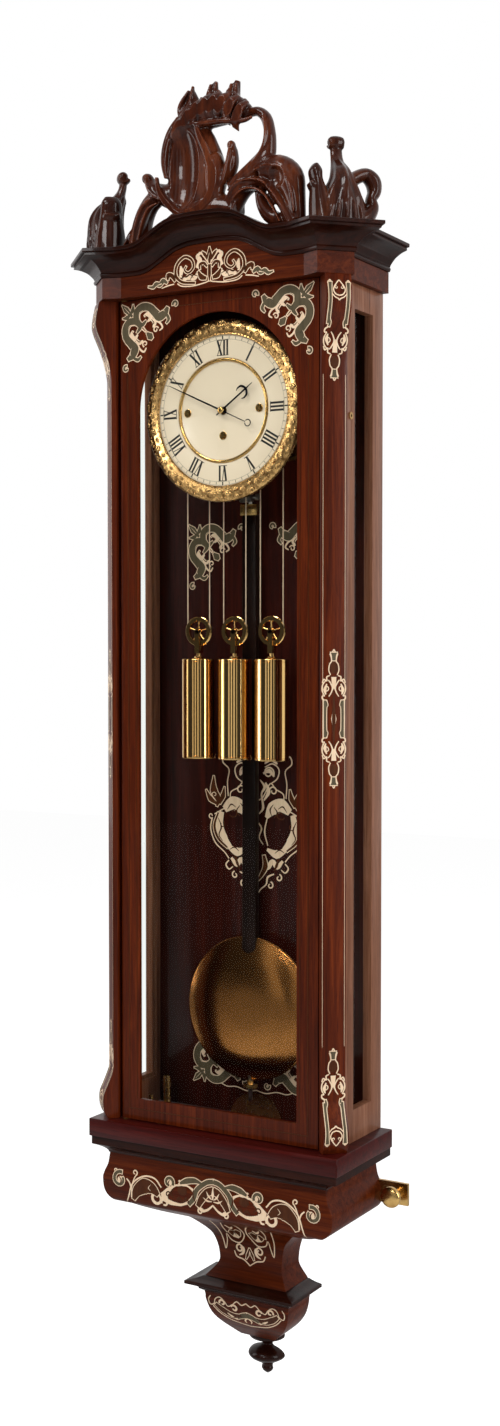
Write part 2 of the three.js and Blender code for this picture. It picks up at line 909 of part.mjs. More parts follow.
function signedVolume(geometry) {
  const place = geometry.attributes.position;
  const index = geometry.index.array;
  const [a, b, c] = [new THREE.Vector3(), new THREE.Vector3(), new THREE.Vector3()];
  let volume = 0;
  for (let i = 0; i < index.length; i += 3) {
    a.fromBufferAttribute(place, index[i]);
    b.fromBufferAttribute(place, index[i + 1]);
    c.fromBufferAttribute(place, index[i + 2]);
    volume += a.dot(b.cross(c));
  }
  return volume;
}

function outward(geometry) {
  if (signedVolume(geometry) < 0) {
    const index = geometry.index.array;
    for (let i = 0; i < index.length; i += 3) {
      const held = index[i];
      index[i] = index[i + 1];
      index[i + 1] = held;
    }
  }
  return geometry;
}

function indexed(geometry) {
  const bare = geometry.clone();
  bare.deleteAttribute('normal');
  bare.deleteAttribute('uv');
  return BufferGeometryUtils.mergeVertices(bare, weldDistance);
}

// The same piece for the left when hand is below zero
function mirrored(geometry, hand) {
  if (hand > 0) {
    return geometry;
  }
  const turned = geometry.clone().scale(-1, 1, 1);
  if (!turned.index) {
    turned.setIndex([...Array(turned.attributes.position.count).keys()]);
  }
  const index = turned.index.array;
  for (let i = 0; i < index.length; i += 3) {
    const held = index[i];
    index[i] = index[i + 1];
    index[i + 1] = held;
  }
  return turned;
}

// Rectangular levels that share the plane of the wall, from the top down
function stack(shares, halfWidth, depth, top, height) {
  const rings = shares.map(([widthShare, depthShare, dropShare]) => {
    const x = halfWidth * widthShare;
    const y = -depth * depthShare;
    const z = top - height * dropShare;
    return [
      new THREE.Vector3(-x, 0, z),
      new THREE.Vector3(-x, y, z),
      new THREE.Vector3(x, y, z),
      new THREE.Vector3(x, 0, z),
    ];
  });
  return loft(rings);
}

// Elliptical rings along a spine that lies in the plane of two axes
function limb(points, along, up, across, sides = limbSides) {
  const spine = points.map(([a, z]) => new THREE.Vector2(a, z));
  const rings = points.map(([a, z, halfWidth, halfDepth], i) => {
    const before = spine[Math.max(i - 1, 0)];
    const after = spine[Math.min(i + 1, spine.length - 1)];
    const run = after.clone().sub(before).normalize();
    const ring = [];
    for (let k = 0; k < sides; k += 1) {
      const angle = (2 * Math.PI * k) / sides;
      const out = halfWidth * Math.cos(angle);
      ring.push(new THREE.Vector3()
        .addScaledVector(along, a - out * run.y)
        .addScaledVector(up, z + out * run.x)
        .addScaledVector(across, halfDepth * Math.sin(angle)));
    }
    return ring;
  });
  return loft(rings);
}

// A round wire through points, its rings square to the way it runs
function wire(points, radius, sides, across) {
  const rings = points.map((point, i) => {
    const before = points[Math.max(i - 1, 0)];
    const after = points[Math.min(i + 1, points.length - 1)];
    const run = after.clone().sub(before).normalize();
    const out = new THREE.Vector3().crossVectors(run, across).normalize();
    const ring = [];
    for (let k = 0; k < sides; k += 1) {
      const angle = (2 * Math.PI * k) / sides;
      ring.push(point.clone()
        .addScaledVector(out, radius * Math.cos(angle))
        .addScaledVector(across, radius * Math.sin(angle)));
    }
    return ring;
  });
  return loft(rings);
}

// Outline of a toothed wheel with pointed teeth, half a tooth wide at the root
function toothedShape(teeth, rootRadius, tipRadius, hole = 0, phase = 0) {
  const points = [];
  const step = (2 * Math.PI) / teeth;
  const flanks = [[-toothRootShare, rootRadius], [0, tipRadius], [toothRootShare, rootRadius]];
  for (let tooth = 0; tooth < teeth; tooth += 1) {
    for (const [share, radius] of flanks) {
      const angle = (tooth + phase + share) * step;
      points.push([radius * Math.cos(angle), radius * Math.sin(angle)]);
    }
  }
  const shape = polygon(points);
  if (hole > 0) {
    shape.holes.push(polygon(circlePoints(hole, smallSides)));
  }
  return shape;
}

// Back board with the pocket for the hanging plate
const plateLowZ = hookHeight + hangingPlateRise - hangingPlateHeight;
const plateHighZ = hookHeight + hangingPlateRise;
function backBoard() {
  const halfWidth = caseHalfWidth - sideThickness - seatGap;
  const board = block(-halfWidth, halfWidth, -backBoardThickness, 0, seatGap,
    caseHeight + friezeHeight - seatGap);
  const halfPlate = hangingPlateWidth / 2 + seatGap;
  const platePocket = block(-halfPlate, halfPlate, -hangingPlateThickness - seatGap, overrun,
    plateLowZ - seatGap, plateHighZ + seatGap);
  const halfKey = keyPocketWidth / 2;
  const keyPocket = block(-halfKey, halfKey, -hangingPlateThickness - keyPocketDepth, overrun,
    hookHeight - keyHoleDrop - halfKey, hookHeight + halfKey);
  return cut(board, platePocket, keyPocket);
}
put('back_board', 'veneer', backBoard());

// Brass plate with the keyhole that hangs on the wall hook
function hangingPlate() {
  const halfPlate = hangingPlateWidth / 2;
  const slot = keySlotWidth / 2;
  const plate = block(-halfPlate, halfPlate, -hangingPlateThickness, 0, plateLowZ, plateHighZ);
  const crown = barY(0, hookHeight - slot, -hangingPlateThickness - overrun, overrun, slot, roundSides);
  const channel = block(-slot, slot, -hangingPlateThickness - overrun, overrun,
    hookHeight - keyHoleDrop, hookHeight - slot);
  const hole = barY(0, hookHeight - keyHoleDrop, -hangingPlateThickness - overrun, overrun,
    keyHoleDiameter / 2, roundSides);
  return cut(plate, crown, channel, hole);
}
put('hanging_plate', 'brass', hangingPlate());

// Case sides, each a frame round a pane let in from inside
const sideInnerX = caseHalfWidth - sideThickness;
const windowFrontY = -sideWindowBack - sideWindowDepth;
const windowTop = caseHeight - sideWindowTopMargin;
function caseSide(hand) {
  const wall = block(sideInnerX, caseHalfWidth, -caseSideDepth, 0, seatGap, caseHeight - seatGap);
  const window = block(sideInnerX - overrun, caseHalfWidth + overrun, windowFrontY, -sideWindowBack,
    sideWindowMargin, windowTop);
  const rebate = block(sideInnerX - overrun, sideInnerX + sideRebateDepth,
    windowFrontY - sideRebateWidth, -sideWindowBack + sideRebateWidth,
    sideWindowMargin - sideRebateWidth, windowTop + sideRebateWidth);
  const tools = [window, rebate];
  if (hand > 0) {
    tools.push(barX(-catchSpindleY, lockZ, sideInnerX - overrun, caseHalfWidth + overrun,
      catchBoreRadius));
  }
  return mirrored(cut(wall, ...tools), hand);
}

function sideGlass(hand) {
  const x0 = sideInnerX + sideRebateDepth - seatGap - glassThickness;
  const pane = block(x0, x0 + glassThickness,
    windowFrontY - sideRebateWidth + seatGap, -sideWindowBack + sideRebateWidth - seatGap,
    sideWindowMargin - sideRebateWidth + seatGap, windowTop + sideRebateWidth - seatGap);
  return mirrored(pane, hand);
}

// Pilaster with a swelling console at the top and at the foot
function pilaster(hand) {
  const face = pilasterFaceWidth * Math.SQRT1_2;
  const nose = pilasterNoseWidth * Math.SQRT1_2;
  const rings = pilasterBulgeShares.map(([bulgeShare, heightShare]) => {
    const bulge = pilasterBulge * bulgeShare * Math.SQRT1_2;
    const z = seatGap + (pilasterHeight - 2 * seatGap) * heightShare;
    return [
      [pilasterInnerX, -pilasterFrontY + nose],
      [pilasterFrontX + bulge, -pilasterFrontY - bulge],
      [pilasterFrontX + face + bulge, -pilasterFrontY + face - bulge],
      [caseHalfWidth, -pilasterBackY],
      [pilasterInnerX, -pilasterBackY],
    ].map(([x, y]) => new THREE.Vector3(x, y, z));
  });
  return mirrored(loft(rings), hand);
}

for (const [side, hand] of [['left', -1], ['right', 1]]) {
  put(`${side}_side`, 'veneer', caseSide(hand));
  put(`${side}_side_glass`, 'glass', sideGlass(hand));
  put(`${side}_pilaster`, 'veneer', pilaster(hand));
}

// Plinth: a slab with a moulding run under its edge
const slabBottom = -plinthThickness;
const mouldingBottom = slabBottom - plinthMouldingHeight;
function plinth() {
  const slabTop = [[1, 1, -plinthThickness / plinthMouldingHeight]];
  const body = stack([...slabTop, ...plinthLevelShares], plinthHalfWidth, plinthDepth, slabBottom,
    plinthMouldingHeight);
  const bore = barZ(-pivotX, -pivotY, -pivotDepthInCase - overrun, overrun, pivotBoreRadius);
  return cut(body, bore);
}
put('plinth', 'ebonised', plinth());

// Shaped base, with a pocket at each side of its back for the levelling plates
const baseTop = mouldingBottom - seatGap;
const baseBottom = baseTop - baseHeight;
function bombeBase() {
  const body = stack(baseLevelShares, baseHalfWidth, baseDepth, baseTop, baseHeight);
  const pocket = block(levellerPlateInnerX - seatGap, levellerPlateOuterX,
    -levellerPlateBack - levellerPlateThickness - seatGap, overrun,
    levellerZ - levellerPlateHalfHeight - seatGap, levellerZ + levellerPlateHalfHeight + seatGap);
  return cut(body, pocket, mirrored(pocket, -1));
}
put('bombe_base', 'veneer', bombeBase());

const bowlTop = baseBottom - seatGap;
const bowlBottom = bowlTop - bowlHeight;
put('bowl', 'veneer', stack(bowlLevelShares, bowlHalfWidth, bowlHalfWidth, bowlTop, bowlHeight));

// Drop finial, turned and then sawn in half so that its back lies on the wall
function dropFinial() {
  const top = bowlBottom - seatGap;
  const profile = [new THREE.Vector2(0, top - dropHeight)];
  for (const [radiusShare, dropShare] of [...dropProfileShares].reverse()) {
    profile.push(new THREE.Vector2(dropRadius * radiusShare, top - dropHeight * dropShare));
  }
  profile.push(new THREE.Vector2(0, top));
  const turned = new THREE.LatheGeometry(profile, roundSides).rotateX(Math.PI / 2);
  const wallSide = block(-dropRadius - overrun, dropRadius + overrun, 0, dropRadius + overrun,
    top - dropHeight - overrun, top + overrun);
  return cut(turned, wallSide);
}
put('drop_finial', 'ebonised', dropFinial());

// Height of the serpentine over its straight ends
function rise(x) {
  const place = Math.min(Math.abs(x) / serpentineHalfWidth, 1);
  for (let i = 1; i < serpentineShares.length; i += 1) {
    const [x0, rise0] = serpentineShares[i - 1];
    const [x1, rise1] = serpentineShares[i];
    if (place <= x1) {
      const t = (place - x0) / (x1 - x0);
      return serpentineRise * (rise0 + (rise1 - rise0) * t);
    }
  }
  return 0;
}

// Places across the front where the serpentine bends, from right to left
const serpentineStations = [
  ...[...serpentineShares].reverse().map(([share]) => share * serpentineHalfWidth),
  ...serpentineShares.slice(1).map(([share]) => -share * serpentineHalfWidth),
];

// Frieze: side rails and a front panel whose top follows the serpentine
const friezeTop = caseHeight + friezeHeight;
const friezeCorners = [
  [friezeHalfWidth, 0],
  [friezeHalfWidth, -friezeBlockY + (friezeBlockX - friezeHalfWidth)],
  [friezeBlockX, -friezeBlockY],
  [friezeNoseX, -friezeNoseY],
  [friezeFrontX, -friezeFrontY],
];
const friezeMirror = friezeCorners.map(([x, y]) => [-x, y]).reverse();
function frieze() {
  const innerX = caseHalfWidth - sideThickness;
  const innerY = -friezeFrontY + friezePanelThickness;
  const ring = polygon([
    ...friezeCorners,
    ...friezeMirror,
    [-innerX, 0],
    [-innerX, innerY],
    [innerX, innerY],
    [innerX, 0],
  ]);
  const crown = [[friezeFrontX, caseHeight], [friezeFrontX, friezeTop]];
  for (const x of serpentineStations) {
    crown.push([x, friezeTop + rise(x)]);
  }
  crown.push([-friezeFrontX, friezeTop], [-friezeFrontX, caseHeight]);
  const panel = plateXZ(polygon(crown), -friezeFrontY, innerY);
  const bore = barZ(-pivotX, -pivotY, caseHeight - overrun, caseHeight + pivotDepthInCase + overrun,
    pivotBoreRadius);
  return cut(join(plateXY(ring, caseHeight, friezeTop), panel), bore);
}
put('frieze', 'veneer', frieze());

// Cornice: its section carried round the frieze with mitred corners, and the top board behind it
const corniceBottom = friezeTop + seatGap;
const corniceTop = corniceBottom + corniceHeight;
function cornice() {
  const plan = [
    ...friezeCorners,
    ...serpentineStations.map((x) => [x, -friezeFrontY]),
    ...friezeMirror,
  ];
  const section = [[-corniceSeatDepth, 0]];
  for (const [outShare, heightShare] of corniceProfileShares) {
    section.push([corniceOverhang * outShare, corniceHeight * heightShare]);
  }
  section.push([-corniceSeatDepth, corniceHeight]);
  const rings = plan.map((corner, i) => {
    const side = (a, b) => {
      const run = new THREE.Vector2(b[0] - a[0], b[1] - a[1]).normalize();
      return new THREE.Vector2(-run.y, run.x).negate();
    };
    const before = i > 0 ? side(plan[i - 1], corner) : side(corner, plan[i + 1]);
    const after = i + 1 < plan.length ? side(corner, plan[i + 1]) : before;
    const mitre = before.clone().add(after).divideScalar(1 + before.dot(after));
    const lift = Math.abs(corner[1] + friezeFrontY) < runningGap ? rise(corner[0]) : 0;
    return section.map(([out, height]) => new THREE.Vector3(
      corner[0] - mitre.x * out,
      corner[1] - mitre.y * out,
      corniceBottom + lift + height,
    ));
  });
  const boardX = friezeHalfWidth;
  const boardY = -friezeFrontY + friezePanelThickness + seatGap;
  const board = block(-boardX, boardX, boardY, 0, corniceBottom, corniceBottom + topBoardThickness);
  return join(loft(rings), board);
}
put('cornice', 'ebonised', cornice());

// Solid under the cornice's top, which the crest and the finials are fitted to
function corniceBed() {
  const points = [[friezeFrontX, corniceBottom], [friezeFrontX, corniceTop + seatGap]];
  for (const x of serpentineStations) {
    points.push([x, corniceTop + rise(x) + seatGap]);
  }
  points.push([-friezeFrontX, corniceTop + seatGap], [-friezeFrontX, corniceBottom]);
  return plateXZ(polygon(points), -friezeFrontY - crestDepth, -friezeFrontY + crestDepth);
}

// Carved crest of shell, curl, arm and leaves
const alongX = new THREE.Vector3(1, 0, 0);
const alongY = new THREE.Vector3(0, 1, 0);
const upZ = new THREE.Vector3(0, 0, 1);
function crest() {
  const limbs = crestLimbShares.map((points) => limb(points.map(([x, z, halfWidth, halfDepth]) => [
    x * crestWidth,
    corniceTop + z * crestHeight,
    halfWidth * crestWidth,
    halfDepth * crestDepth,
  ]), alongX, upZ, alongY));
  const carving = join(...limbs).translate(0, -crestPlaneY, 0);
  return cut(carving, corniceBed());
}
put('crest_carving', 'carvedWood', crest());

// Carved corner finial, facing outwards over the corner block
function cornerFinial(hand) {
  const along = new THREE.Vector3(Math.SQRT1_2, Math.SQRT1_2, 0);
  const outwards = new THREE.Vector3(Math.SQRT1_2, -Math.SQRT1_2, 0);
  const body = limb(finialBodyShares.map(([out, z, halfThickness, halfBreadth]) => [
    out * finialDepth,
    corniceTop + z * finialHeight,
    halfThickness * finialDepth,
    halfBreadth * finialWidth,
  ]), outwards, upZ, along);
  const scrolls = finialScrollShares.map((points) => limb(points.map(([a, z, halfWidth, halfDepth]) => [
    a * finialWidth,
    corniceTop + z * finialHeight,
    halfWidth * finialWidth,
    halfDepth * finialDepth,
  ]), along, upZ, outwards));
  const [voluteOut, voluteUp] = finialVoluteShares;
  const volute = new THREE.CylinderGeometry(voluteRadius, voluteRadius, voluteWidth, smallSides);
  volute.rotateZ(-Math.PI / 4);
  volute.translate(outwards.x * voluteOut * finialDepth, outwards.y * voluteOut * finialDepth,
    corniceTop + voluteUp * finialHeight);
  const stem = join(body, volute).translate(-along.x * finialStemOffset,
    -along.y * finialStemOffset, 0);
  const carving = join(stem, ...scrolls).translate(finialX, -finialY, 0);
  const bed = block(finialX - finialWidth, finialX + finialWidth, -finialY - finialWidth,
    -finialY + finialWidth,
    corniceBottom, corniceTop + seatGap);
  return mirrored(cut(carving, bed), hand);
}
put('left_finial', 'carvedWood', cornerFinial(-1));
put('right_finial', 'carvedWood', cornerFinial(1));

// Dark segment at the foot of the back board, where the pendulum's beat is read
function beatPlate() {
  const radius = (beatPlateHalfWidth ** 2 + beatPlateHeight ** 2) / (2 * beatPlateHeight);
  const half = Math.asin(beatPlateHalfWidth / radius);
  const crownZ = seatGap + beatPlateHeight;
  const points = [];
  for (let i = 0; i <= smallSides; i += 1) {
    const angle = -half + (2 * half * i) / smallSides;
    points.push([radius * Math.sin(angle), crownZ - radius + radius * Math.cos(angle)]);
  }
  return plateXZ(polygon(points.reverse()), -backBoardThickness - seatGap - beatPlateThickness,
    -backBoardThickness - seatGap);
}
put('beat_plate', 'ebonised', beatPlate());

// Door pivots: a pin with a collar, half in the case and half in the door
function doorPivot(collarZ, up) {
  const inDoor = pivotLength - pivotDepthInCase;
  const [below, above] = up ? [inDoor, pivotDepthInCase] : [pivotDepthInCase, inDoor];
  return join(
    barZ(-pivotX, -pivotY, collarZ - below, collarZ + above, pivotRadius),
    barZ(-pivotX, -pivotY, collarZ - pivotCollarThickness / 2, collarZ + pivotCollarThickness / 2,
      pivotCollarRadius, roundSides),
  );
}
put('upper_door_pivot', 'brass', doorPivot(caseHeight - doorClearance / 2, true));
put('lower_door_pivot', 'brass', doorPivot(doorClearance / 2, false));

// Outline of the door's arched opening, grown by a margin
function archShape(margin) {
  const radius = doorOpeningHalfWidth + margin;
  const points = [[-radius, doorOpeningBottom - margin], [radius, doorOpeningBottom - margin]];
  for (let i = 0; i <= roundSides; i += 1) {
    const angle = (Math.PI * i) / roundSides;
    points.push([radius * Math.cos(angle), doorArchCentreZ + radius * Math.sin(angle)]);
  }
  return points;
}

// Door frame: a lip in front of the glass, a wider rebate behind it
const doorBackY = -doorFrontY + doorThickness;
const doorTop = caseHeight - doorClearance;
function doorFrame() {
  const outer = [
    [-doorHalfWidth, doorClearance],
    [doorHalfWidth, doorClearance],
    [doorHalfWidth, doorTop],
    [-doorHalfWidth, doorTop],
  ];
  const lipBackY = -doorFrontY + doorLipThickness;
  const body = plateXZ(polygon(outer), -doorFrontY, doorBackY);
  const sight = plateXZ(polygon(archShape(0)), -doorFrontY - overrun, doorBackY + overrun);
  const rebate = plateXZ(polygon(archShape(doorRebateWidth)), lipBackY, doorBackY + overrun);
  const edgeRadius = doorHalfWidth - pivotX;
  const corner = cut(
    block(-doorHalfWidth - overrun, -pivotX, -doorFrontY - overrun, -pivotY,
      doorClearance - overrun, doorTop + overrun),
    barZ(-pivotX, -pivotY, doorClearance - 2 * overrun, doorTop + 2 * overrun, edgeRadius, roundSides),
  );
  const boreDepth = pivotLength - pivotDepthInCase + seatGap;
  const lower = barZ(-pivotX, -pivotY, 0, doorClearance / 2 + boreDepth, pivotBoreRadius);
  const upper = barZ(-pivotX, -pivotY, caseHeight - doorClearance / 2 - boreDepth, caseHeight,
    pivotBoreRadius);
  return cut(body, sight, rebate, corner, lower, upper);
}
put('door_frame', 'veneer', doorFrame());

const doorGlassFrontY = -doorFrontY + doorLipThickness + seatGap;
put('door_glass', 'glass', plateXZ(polygon(archShape(doorGlassInset)), doorGlassFrontY,
  doorGlassFrontY + glassThickness));

// Keeper on the rear of the closing stile: plate, ear and pin
function doorKeeper() {
  const frontY = doorBackY + seatGap;
  const plate = block(keeperPlateInnerX, keeperPlateInnerX + keeperPlateWidth, frontY,
    frontY + keeperPlateThickness,
    lockZ - keeperPlateHeight / 2, lockZ + keeperPlateHeight / 2);
  const ear = block(keeperEarX, keeperEarX + keeperEarThickness, frontY,
    -keeperPinY + 2 * keeperPinRadius,
    lockZ - 2 * keeperPinRadius, lockZ + 2 * keeperPinRadius);
  const pin = barX(-keeperPinY, lockZ, keeperEarX, keeperPinEndX, keeperPinRadius);
  return join(plate, ear, pin);
}
put('door_keeper', 'brass', doorKeeper());

// Hook bolt turned by a key in the case side, shown raised
function doorCatch() {
  const hook = plateYZ(polygon([
    [0, catchArmBottom],
    [0, catchArmTop],
    [-catchReach, catchArmTop],
    [-catchReach, -catchNoseDepth],
    [-catchReach + catchNoseWidth, -catchNoseDepth],
    [-catchReach + catchNoseWidth, catchArmBottom],
  ]), catchPlateX, catchPlateX + catchThickness);
  const hub = barX(0, 0, catchPlateX, catchPlateX + catchThickness, catchHubRadius, roundSides);
  const blade = join(hook, hub).rotateX(-catchRestAngle);
  const spindle = barX(0, 0, catchPlateX, caseHalfWidth + seatGap + catchHeadThickness / 2,
    catchSpindleRadius);
  const head = barX(0, 0, caseHalfWidth + seatGap, caseHalfWidth + seatGap + catchHeadThickness,
    catchHeadRadius);
  const key = catchKeySquare / 2;
  const socket = block(caseHalfWidth - sideThickness / 2, caseHalfWidth + overrun, -key, key, -key,
    key);
  return cut(join(blade, spindle, head), socket).translate(0, -catchSpindleY, lockZ);
}
put('door_catch', 'brass', doorCatch());

// Levelling screws: plate let into the base, threaded shank and round head
function levellingBracket(hand) {
  const plate = block(levellerPlateInnerX, levellerPlateOuterX,
    -levellerPlateBack - levellerPlateThickness, -levellerPlateBack,
    levellerZ - levellerPlateHalfHeight, levellerZ + levellerPlateHalfHeight);
  const boss = barY(levellerX, levellerZ, -levellerBossFrontY,
    -levellerPlateBack - levellerPlateThickness / 2,
    levellerBossRadius, roundSides);
  const bore = barY(levellerX, levellerZ, -levellerBossFrontY - overrun, overrun, levellerBoreRadius);
  return mirrored(cut(join(plate, boss), bore), hand);
}

function levellingKnob(hand) {
  const y1 = -levellerShankLength - seatGap;
  const profile = knobProfileShares.map(([radiusShare, heightShare]) => (
    new THREE.Vector2(levellerKnobRadius * radiusShare, levellerKnobThickness * heightShare)));
  const knob = new THREE.LatheGeometry(profile, roundSides).rotateX(Math.PI);
  return mirrored(knob.translate(levellerX, y1, levellerZ), hand);
}

for (const [side, hand] of [['left', -1], ['right', 1]]) {
  put(`${side}_levelling_bracket`, 'brass', levellingBracket(hand));
  put(`${side}_levelling_shank`, 'steel',
    mirrored(barY(levellerX, levellerZ, -levellerShankLength, 0, levellerShankRadius), hand));
  put(`${side}_levelling_knob`, 'brass', levellingKnob(hand));
}

// Bracket on the back board that carries the movement and the pendulum's suspension stud
function movementBracket() {
  const backY = -backBoardThickness - seatGap;
  const frontY = -backPlateY + plateThickness + seatGap;
  const base = block(-bracketHalfWidth, bracketHalfWidth, backY - bracketThickness, backY,
    bracketBottomZ, bracketTopZ);
  const arm = block(bracketHalfWidth - bracketArmWidth, bracketHalfWidth, frontY,
    backY - bracketThickness / 2,
    bracketArmBottomZ, bracketArmBottomZ + bracketArmHeight);
  const stud = block(-studHalfWidth, studHalfWidth, backY - bracketThickness - studLength,
    backY - bracketThickness / 2,
    bracketTopZ - studHeight, bracketTopZ);
  return join(base, arm, mirrored(arm, -1), stud);
}
put('movement_bracket', 'steel', movementBracket());

// Movement plates with their pivot holes
const barrelPlaces = {
  quarter: [-barrelX, dialCentreZ],
  going: [0, dialCentreZ - goingBarrelDrop],
  hour: [barrelX, dialCentreZ],
};
const trainPlaces = [[thirdArborX, thirdArborZ], [0, escapeArborZ], [0, anchorZ]];
const linePillarX = [-weightX, 0, weightX].map((x) => x - pulleyPitchRadius);
function plateWithHoles(y0, holes) {
  const plate = block(-plateHalfWidth, plateHalfWidth, y0, y0 + plateThickness, plateBottom, plateTop);
  return cut(plate, ...holes.map(([x, z, radius]) => barY(x, z, y0 - overrun,
    y0 + plateThickness + overrun, radius)));
}

function backPlate() {
  const holes = [
    ...trainPlaces.slice(0, 2).map(([x, z]) => [x, z, pivotHoleRadius]),
    [0, anchorZ, centreBoreRadius],
    [0, dialCentreZ, pivotHoleRadius],
    ...Object.values(barrelPlaces).map(([x, z]) => [x, z, centreBoreRadius]),
  ];
  const pillarY = [-frontPlateY + plateThickness + seatGap, -backPlateY + plateThickness / 2];
  const pillars = [
    ...linePillarX.map((x) => [x, pillarLowZ]),
    [-pillarHighX, pillarHighZ],
    [pillarHighX, pillarHighZ],
  ].map(([x, z]) => barY(x, z, ...pillarY, pillarRadius));
  const hammerStud = barY(-hammerX, hammerZ, -backPlateY + plateThickness / 2,
    -hammerFrontY + hammerArmThickness + overrun,
    hammerStudRadius);
  return join(plateWithHoles(-backPlateY, holes), ...pillars, hammerStud);
}

function frontPlate() {
  const holes = [
    ...trainPlaces.map(([x, z]) => [x, z, pivotHoleRadius]),
    [0, dialCentreZ, centreBoreRadius],
    ...Object.values(barrelPlaces).map(([x, z]) => [x, z, barrelBoreRadius]),
  ];
  return plateWithHoles(-frontPlateY, holes);
}
put('back_plate', 'brass', backPlate());
put('front_plate', 'brass', frontPlate());

// Enamel dial with a sunk centre, and the feet that hold it off the front plate
function dial() {
  const backY = -dialFrontY + dialThickness;
  const feet = [[-dialFootX, dialFootZ], [dialFootX, dialFootZ],
    [0, -dialFootZ + 2 * windingHoleRadius]]
    .map(([x, z]) => barY(x, dialCentreZ + z, backY - dialRecessDepth, -frontPlateY - seatGap,
      dialFootRadius));
  const body = join(ringY(0, dialCentreZ, -dialFrontY, backY, dialRadius), ...feet);
  const recess = barY(0, dialCentreZ, -dialFrontY - overrun, -dialFrontY + dialRecessDepth,
    dialRecessRadius, fineSides);
  const through = [-dialFrontY - overrun, backY + overrun];
  const holes = Object.values(barrelPlaces).map(([x, z]) => barY(x, z, ...through,
    windingHoleRadius, roundSides));
  return cut(body, recess, barY(0, dialCentreZ, ...through, dialHoleRadius, roundSides), ...holes);
}
put('dial', 'enamel', dial());

// Ring that lies in the recess and bridges its edge
const dialRingBackY = -dialFrontY + dialRecessDepth - seatGap;
put('dial_ring', 'brass', ringY(0, dialCentreZ, dialRingBackY - dialRingThickness, dialRingBackY,
  dialRingOuterRadius, dialRingInnerRadius));

// Cast bezel: a raised ring with a skirt round the dial's edge
function bezel() {
  const y0 = -bezelFrontY;
  const yLip = -dialFrontY - seatGap;
  const yBack = -dialFrontY + dialThickness;
  const crown = bezelCrownShares.map(([widthShare, dropShare]) => [
    bezelInnerRadius + (bezelOuterRadius - bezelInnerRadius) * widthShare,
    y0 + (yLip - y0) * dropShare,
  ]);
  const profile = [
    [bezelInnerRadius, yLip],
    [bezelInnerRadius, yLip - bezelLipThickness],
    ...crown,
    [bezelOuterRadius, yLip],
    [bezelOuterRadius, yBack],
    [dialRadius + runningGap, yBack],
    [dialRadius + runningGap, yLip],
  ].map(([radius, y]) => new THREE.Vector2(radius, y));
  profile.push(profile[0].clone());
  return outward(indexed(new THREE.LatheGeometry(profile, fineSides))).translate(0, 0, dialCentreZ);
}
put('bezel', 'castGilt', bezel());

// Barrels: drum between flanges, great wheel behind and winding square in front
function barrel([x, z]) {
  const frontY = -drumFrontY;
  const backY = -drumBackY;
  const wheelY = -greatWheelFrontY;
  const parts = [
    ringY(x, z, frontY, wheelY + wheelThickness, drumRadius, 0, roundSides),
    ringY(x, z, frontY - barrelFlangeThickness, frontY, barrelFlangeRadius, 0, roundSides),
    ringY(x, z, backY, backY + barrelFlangeThickness, barrelFlangeRadius, 0, roundSides),
    plateXZ(toothedShape(greatWheelTeeth, greatWheelRadius - centreModule, greatWheelRadius),
      wheelY, wheelY + greatWheelThickness).translate(x, 0, z),
    barY(x, z, -windingSquareEndY + windingSquare, frontY, barrelArborRadius),
    block(x - windingSquare / 2, x + windingSquare / 2, -windingSquareEndY, frontY,
      z - windingSquare / 2, z + windingSquare / 2),
    barY(x, z, wheelY + wheelThickness, -backPlateY + plateThickness, centreArborRadius),
  ];
  return join(...parts);
}
for (const [train, place] of Object.entries(barrelPlaces)) {
  put(`${train}_barrel`, 'brass', barrel(place));
}

// Arbors of the going train, each with a pinion and a wheel
const arborFrontY = -frontPlateY + plateThickness + seatGap;
const arborBackY = -backPlateY - seatGap;
function trainArbor(x, z) {
  return [
    barY(x, z, arborFrontY, arborBackY, trainArborRadius),
    barY(x, z, -frontPlateY + seatGap, -backPlateY + plateThickness - seatGap, pivotPinRadius),
  ];
}

function gearOn(x, z, teeth, module, y0, thickness, phase) {
  const pitch = (teeth * module) / 2;
  const shape = toothedShape(teeth, pitch - module * dedendumShare, pitch + module * addendumShare,
    0, phase);
  return plateXZ(shape, y0, y0 + thickness).translate(x, 0, z);
}

// Direction from one arbor to another, in teeth of a wheel
function towards(from, to, teeth) {
  return (Math.atan2(to[1] - from[1], to[0] - from[0]) / (2 * Math.PI)) * teeth;
}

const centrePlace = [0, dialCentreZ];
const thirdPlace = [thirdArborX, thirdArborZ];
const escapePlace = [0, escapeArborZ];
function centreArbor() {
  const pinionTip = goingBarrelDrop - greatWheelRadius - runningGap;
  const wheelY = -greatWheelFrontY;
  return join(
    barY(...centrePlace, -centreArborEndY, arborBackY, centreArborRadius),
    barY(...centrePlace, arborBackY - seatGap, -backPlateY + plateThickness - seatGap, pivotPinRadius),
    plateXZ(toothedShape(centrePinionLeaves, pinionTip - centrePinionToothHeight, pinionTip),
      wheelY - seatGap,
      wheelY + greatWheelThickness + seatGap).translate(centrePlace[0], 0, centrePlace[1]),
    gearOn(...centrePlace, centreWheelTeeth, centreModule, -centreWheelFrontY, wheelThickness,
      towards(centrePlace, thirdPlace, centreWheelTeeth)),
  );
}
put('centre_arbor', 'brass', centreArbor());

function thirdWheel() {
  const pinionY = -centreWheelFrontY - pinionMargin;
  return join(
    ...trainArbor(...thirdPlace),
    gearOn(...thirdPlace, pinionLeaves, centreModule, pinionY, wheelThickness + 2 * pinionMargin,
      towards(thirdPlace, centrePlace, pinionLeaves) + gapPhaseShare),
    gearOn(...thirdPlace, thirdWheelTeeth, thirdModule, -thirdWheelFrontY, wheelThickness,
      towards(thirdPlace, escapePlace, thirdWheelTeeth)),
  );
}
put('third_wheel', 'brass', thirdWheel());

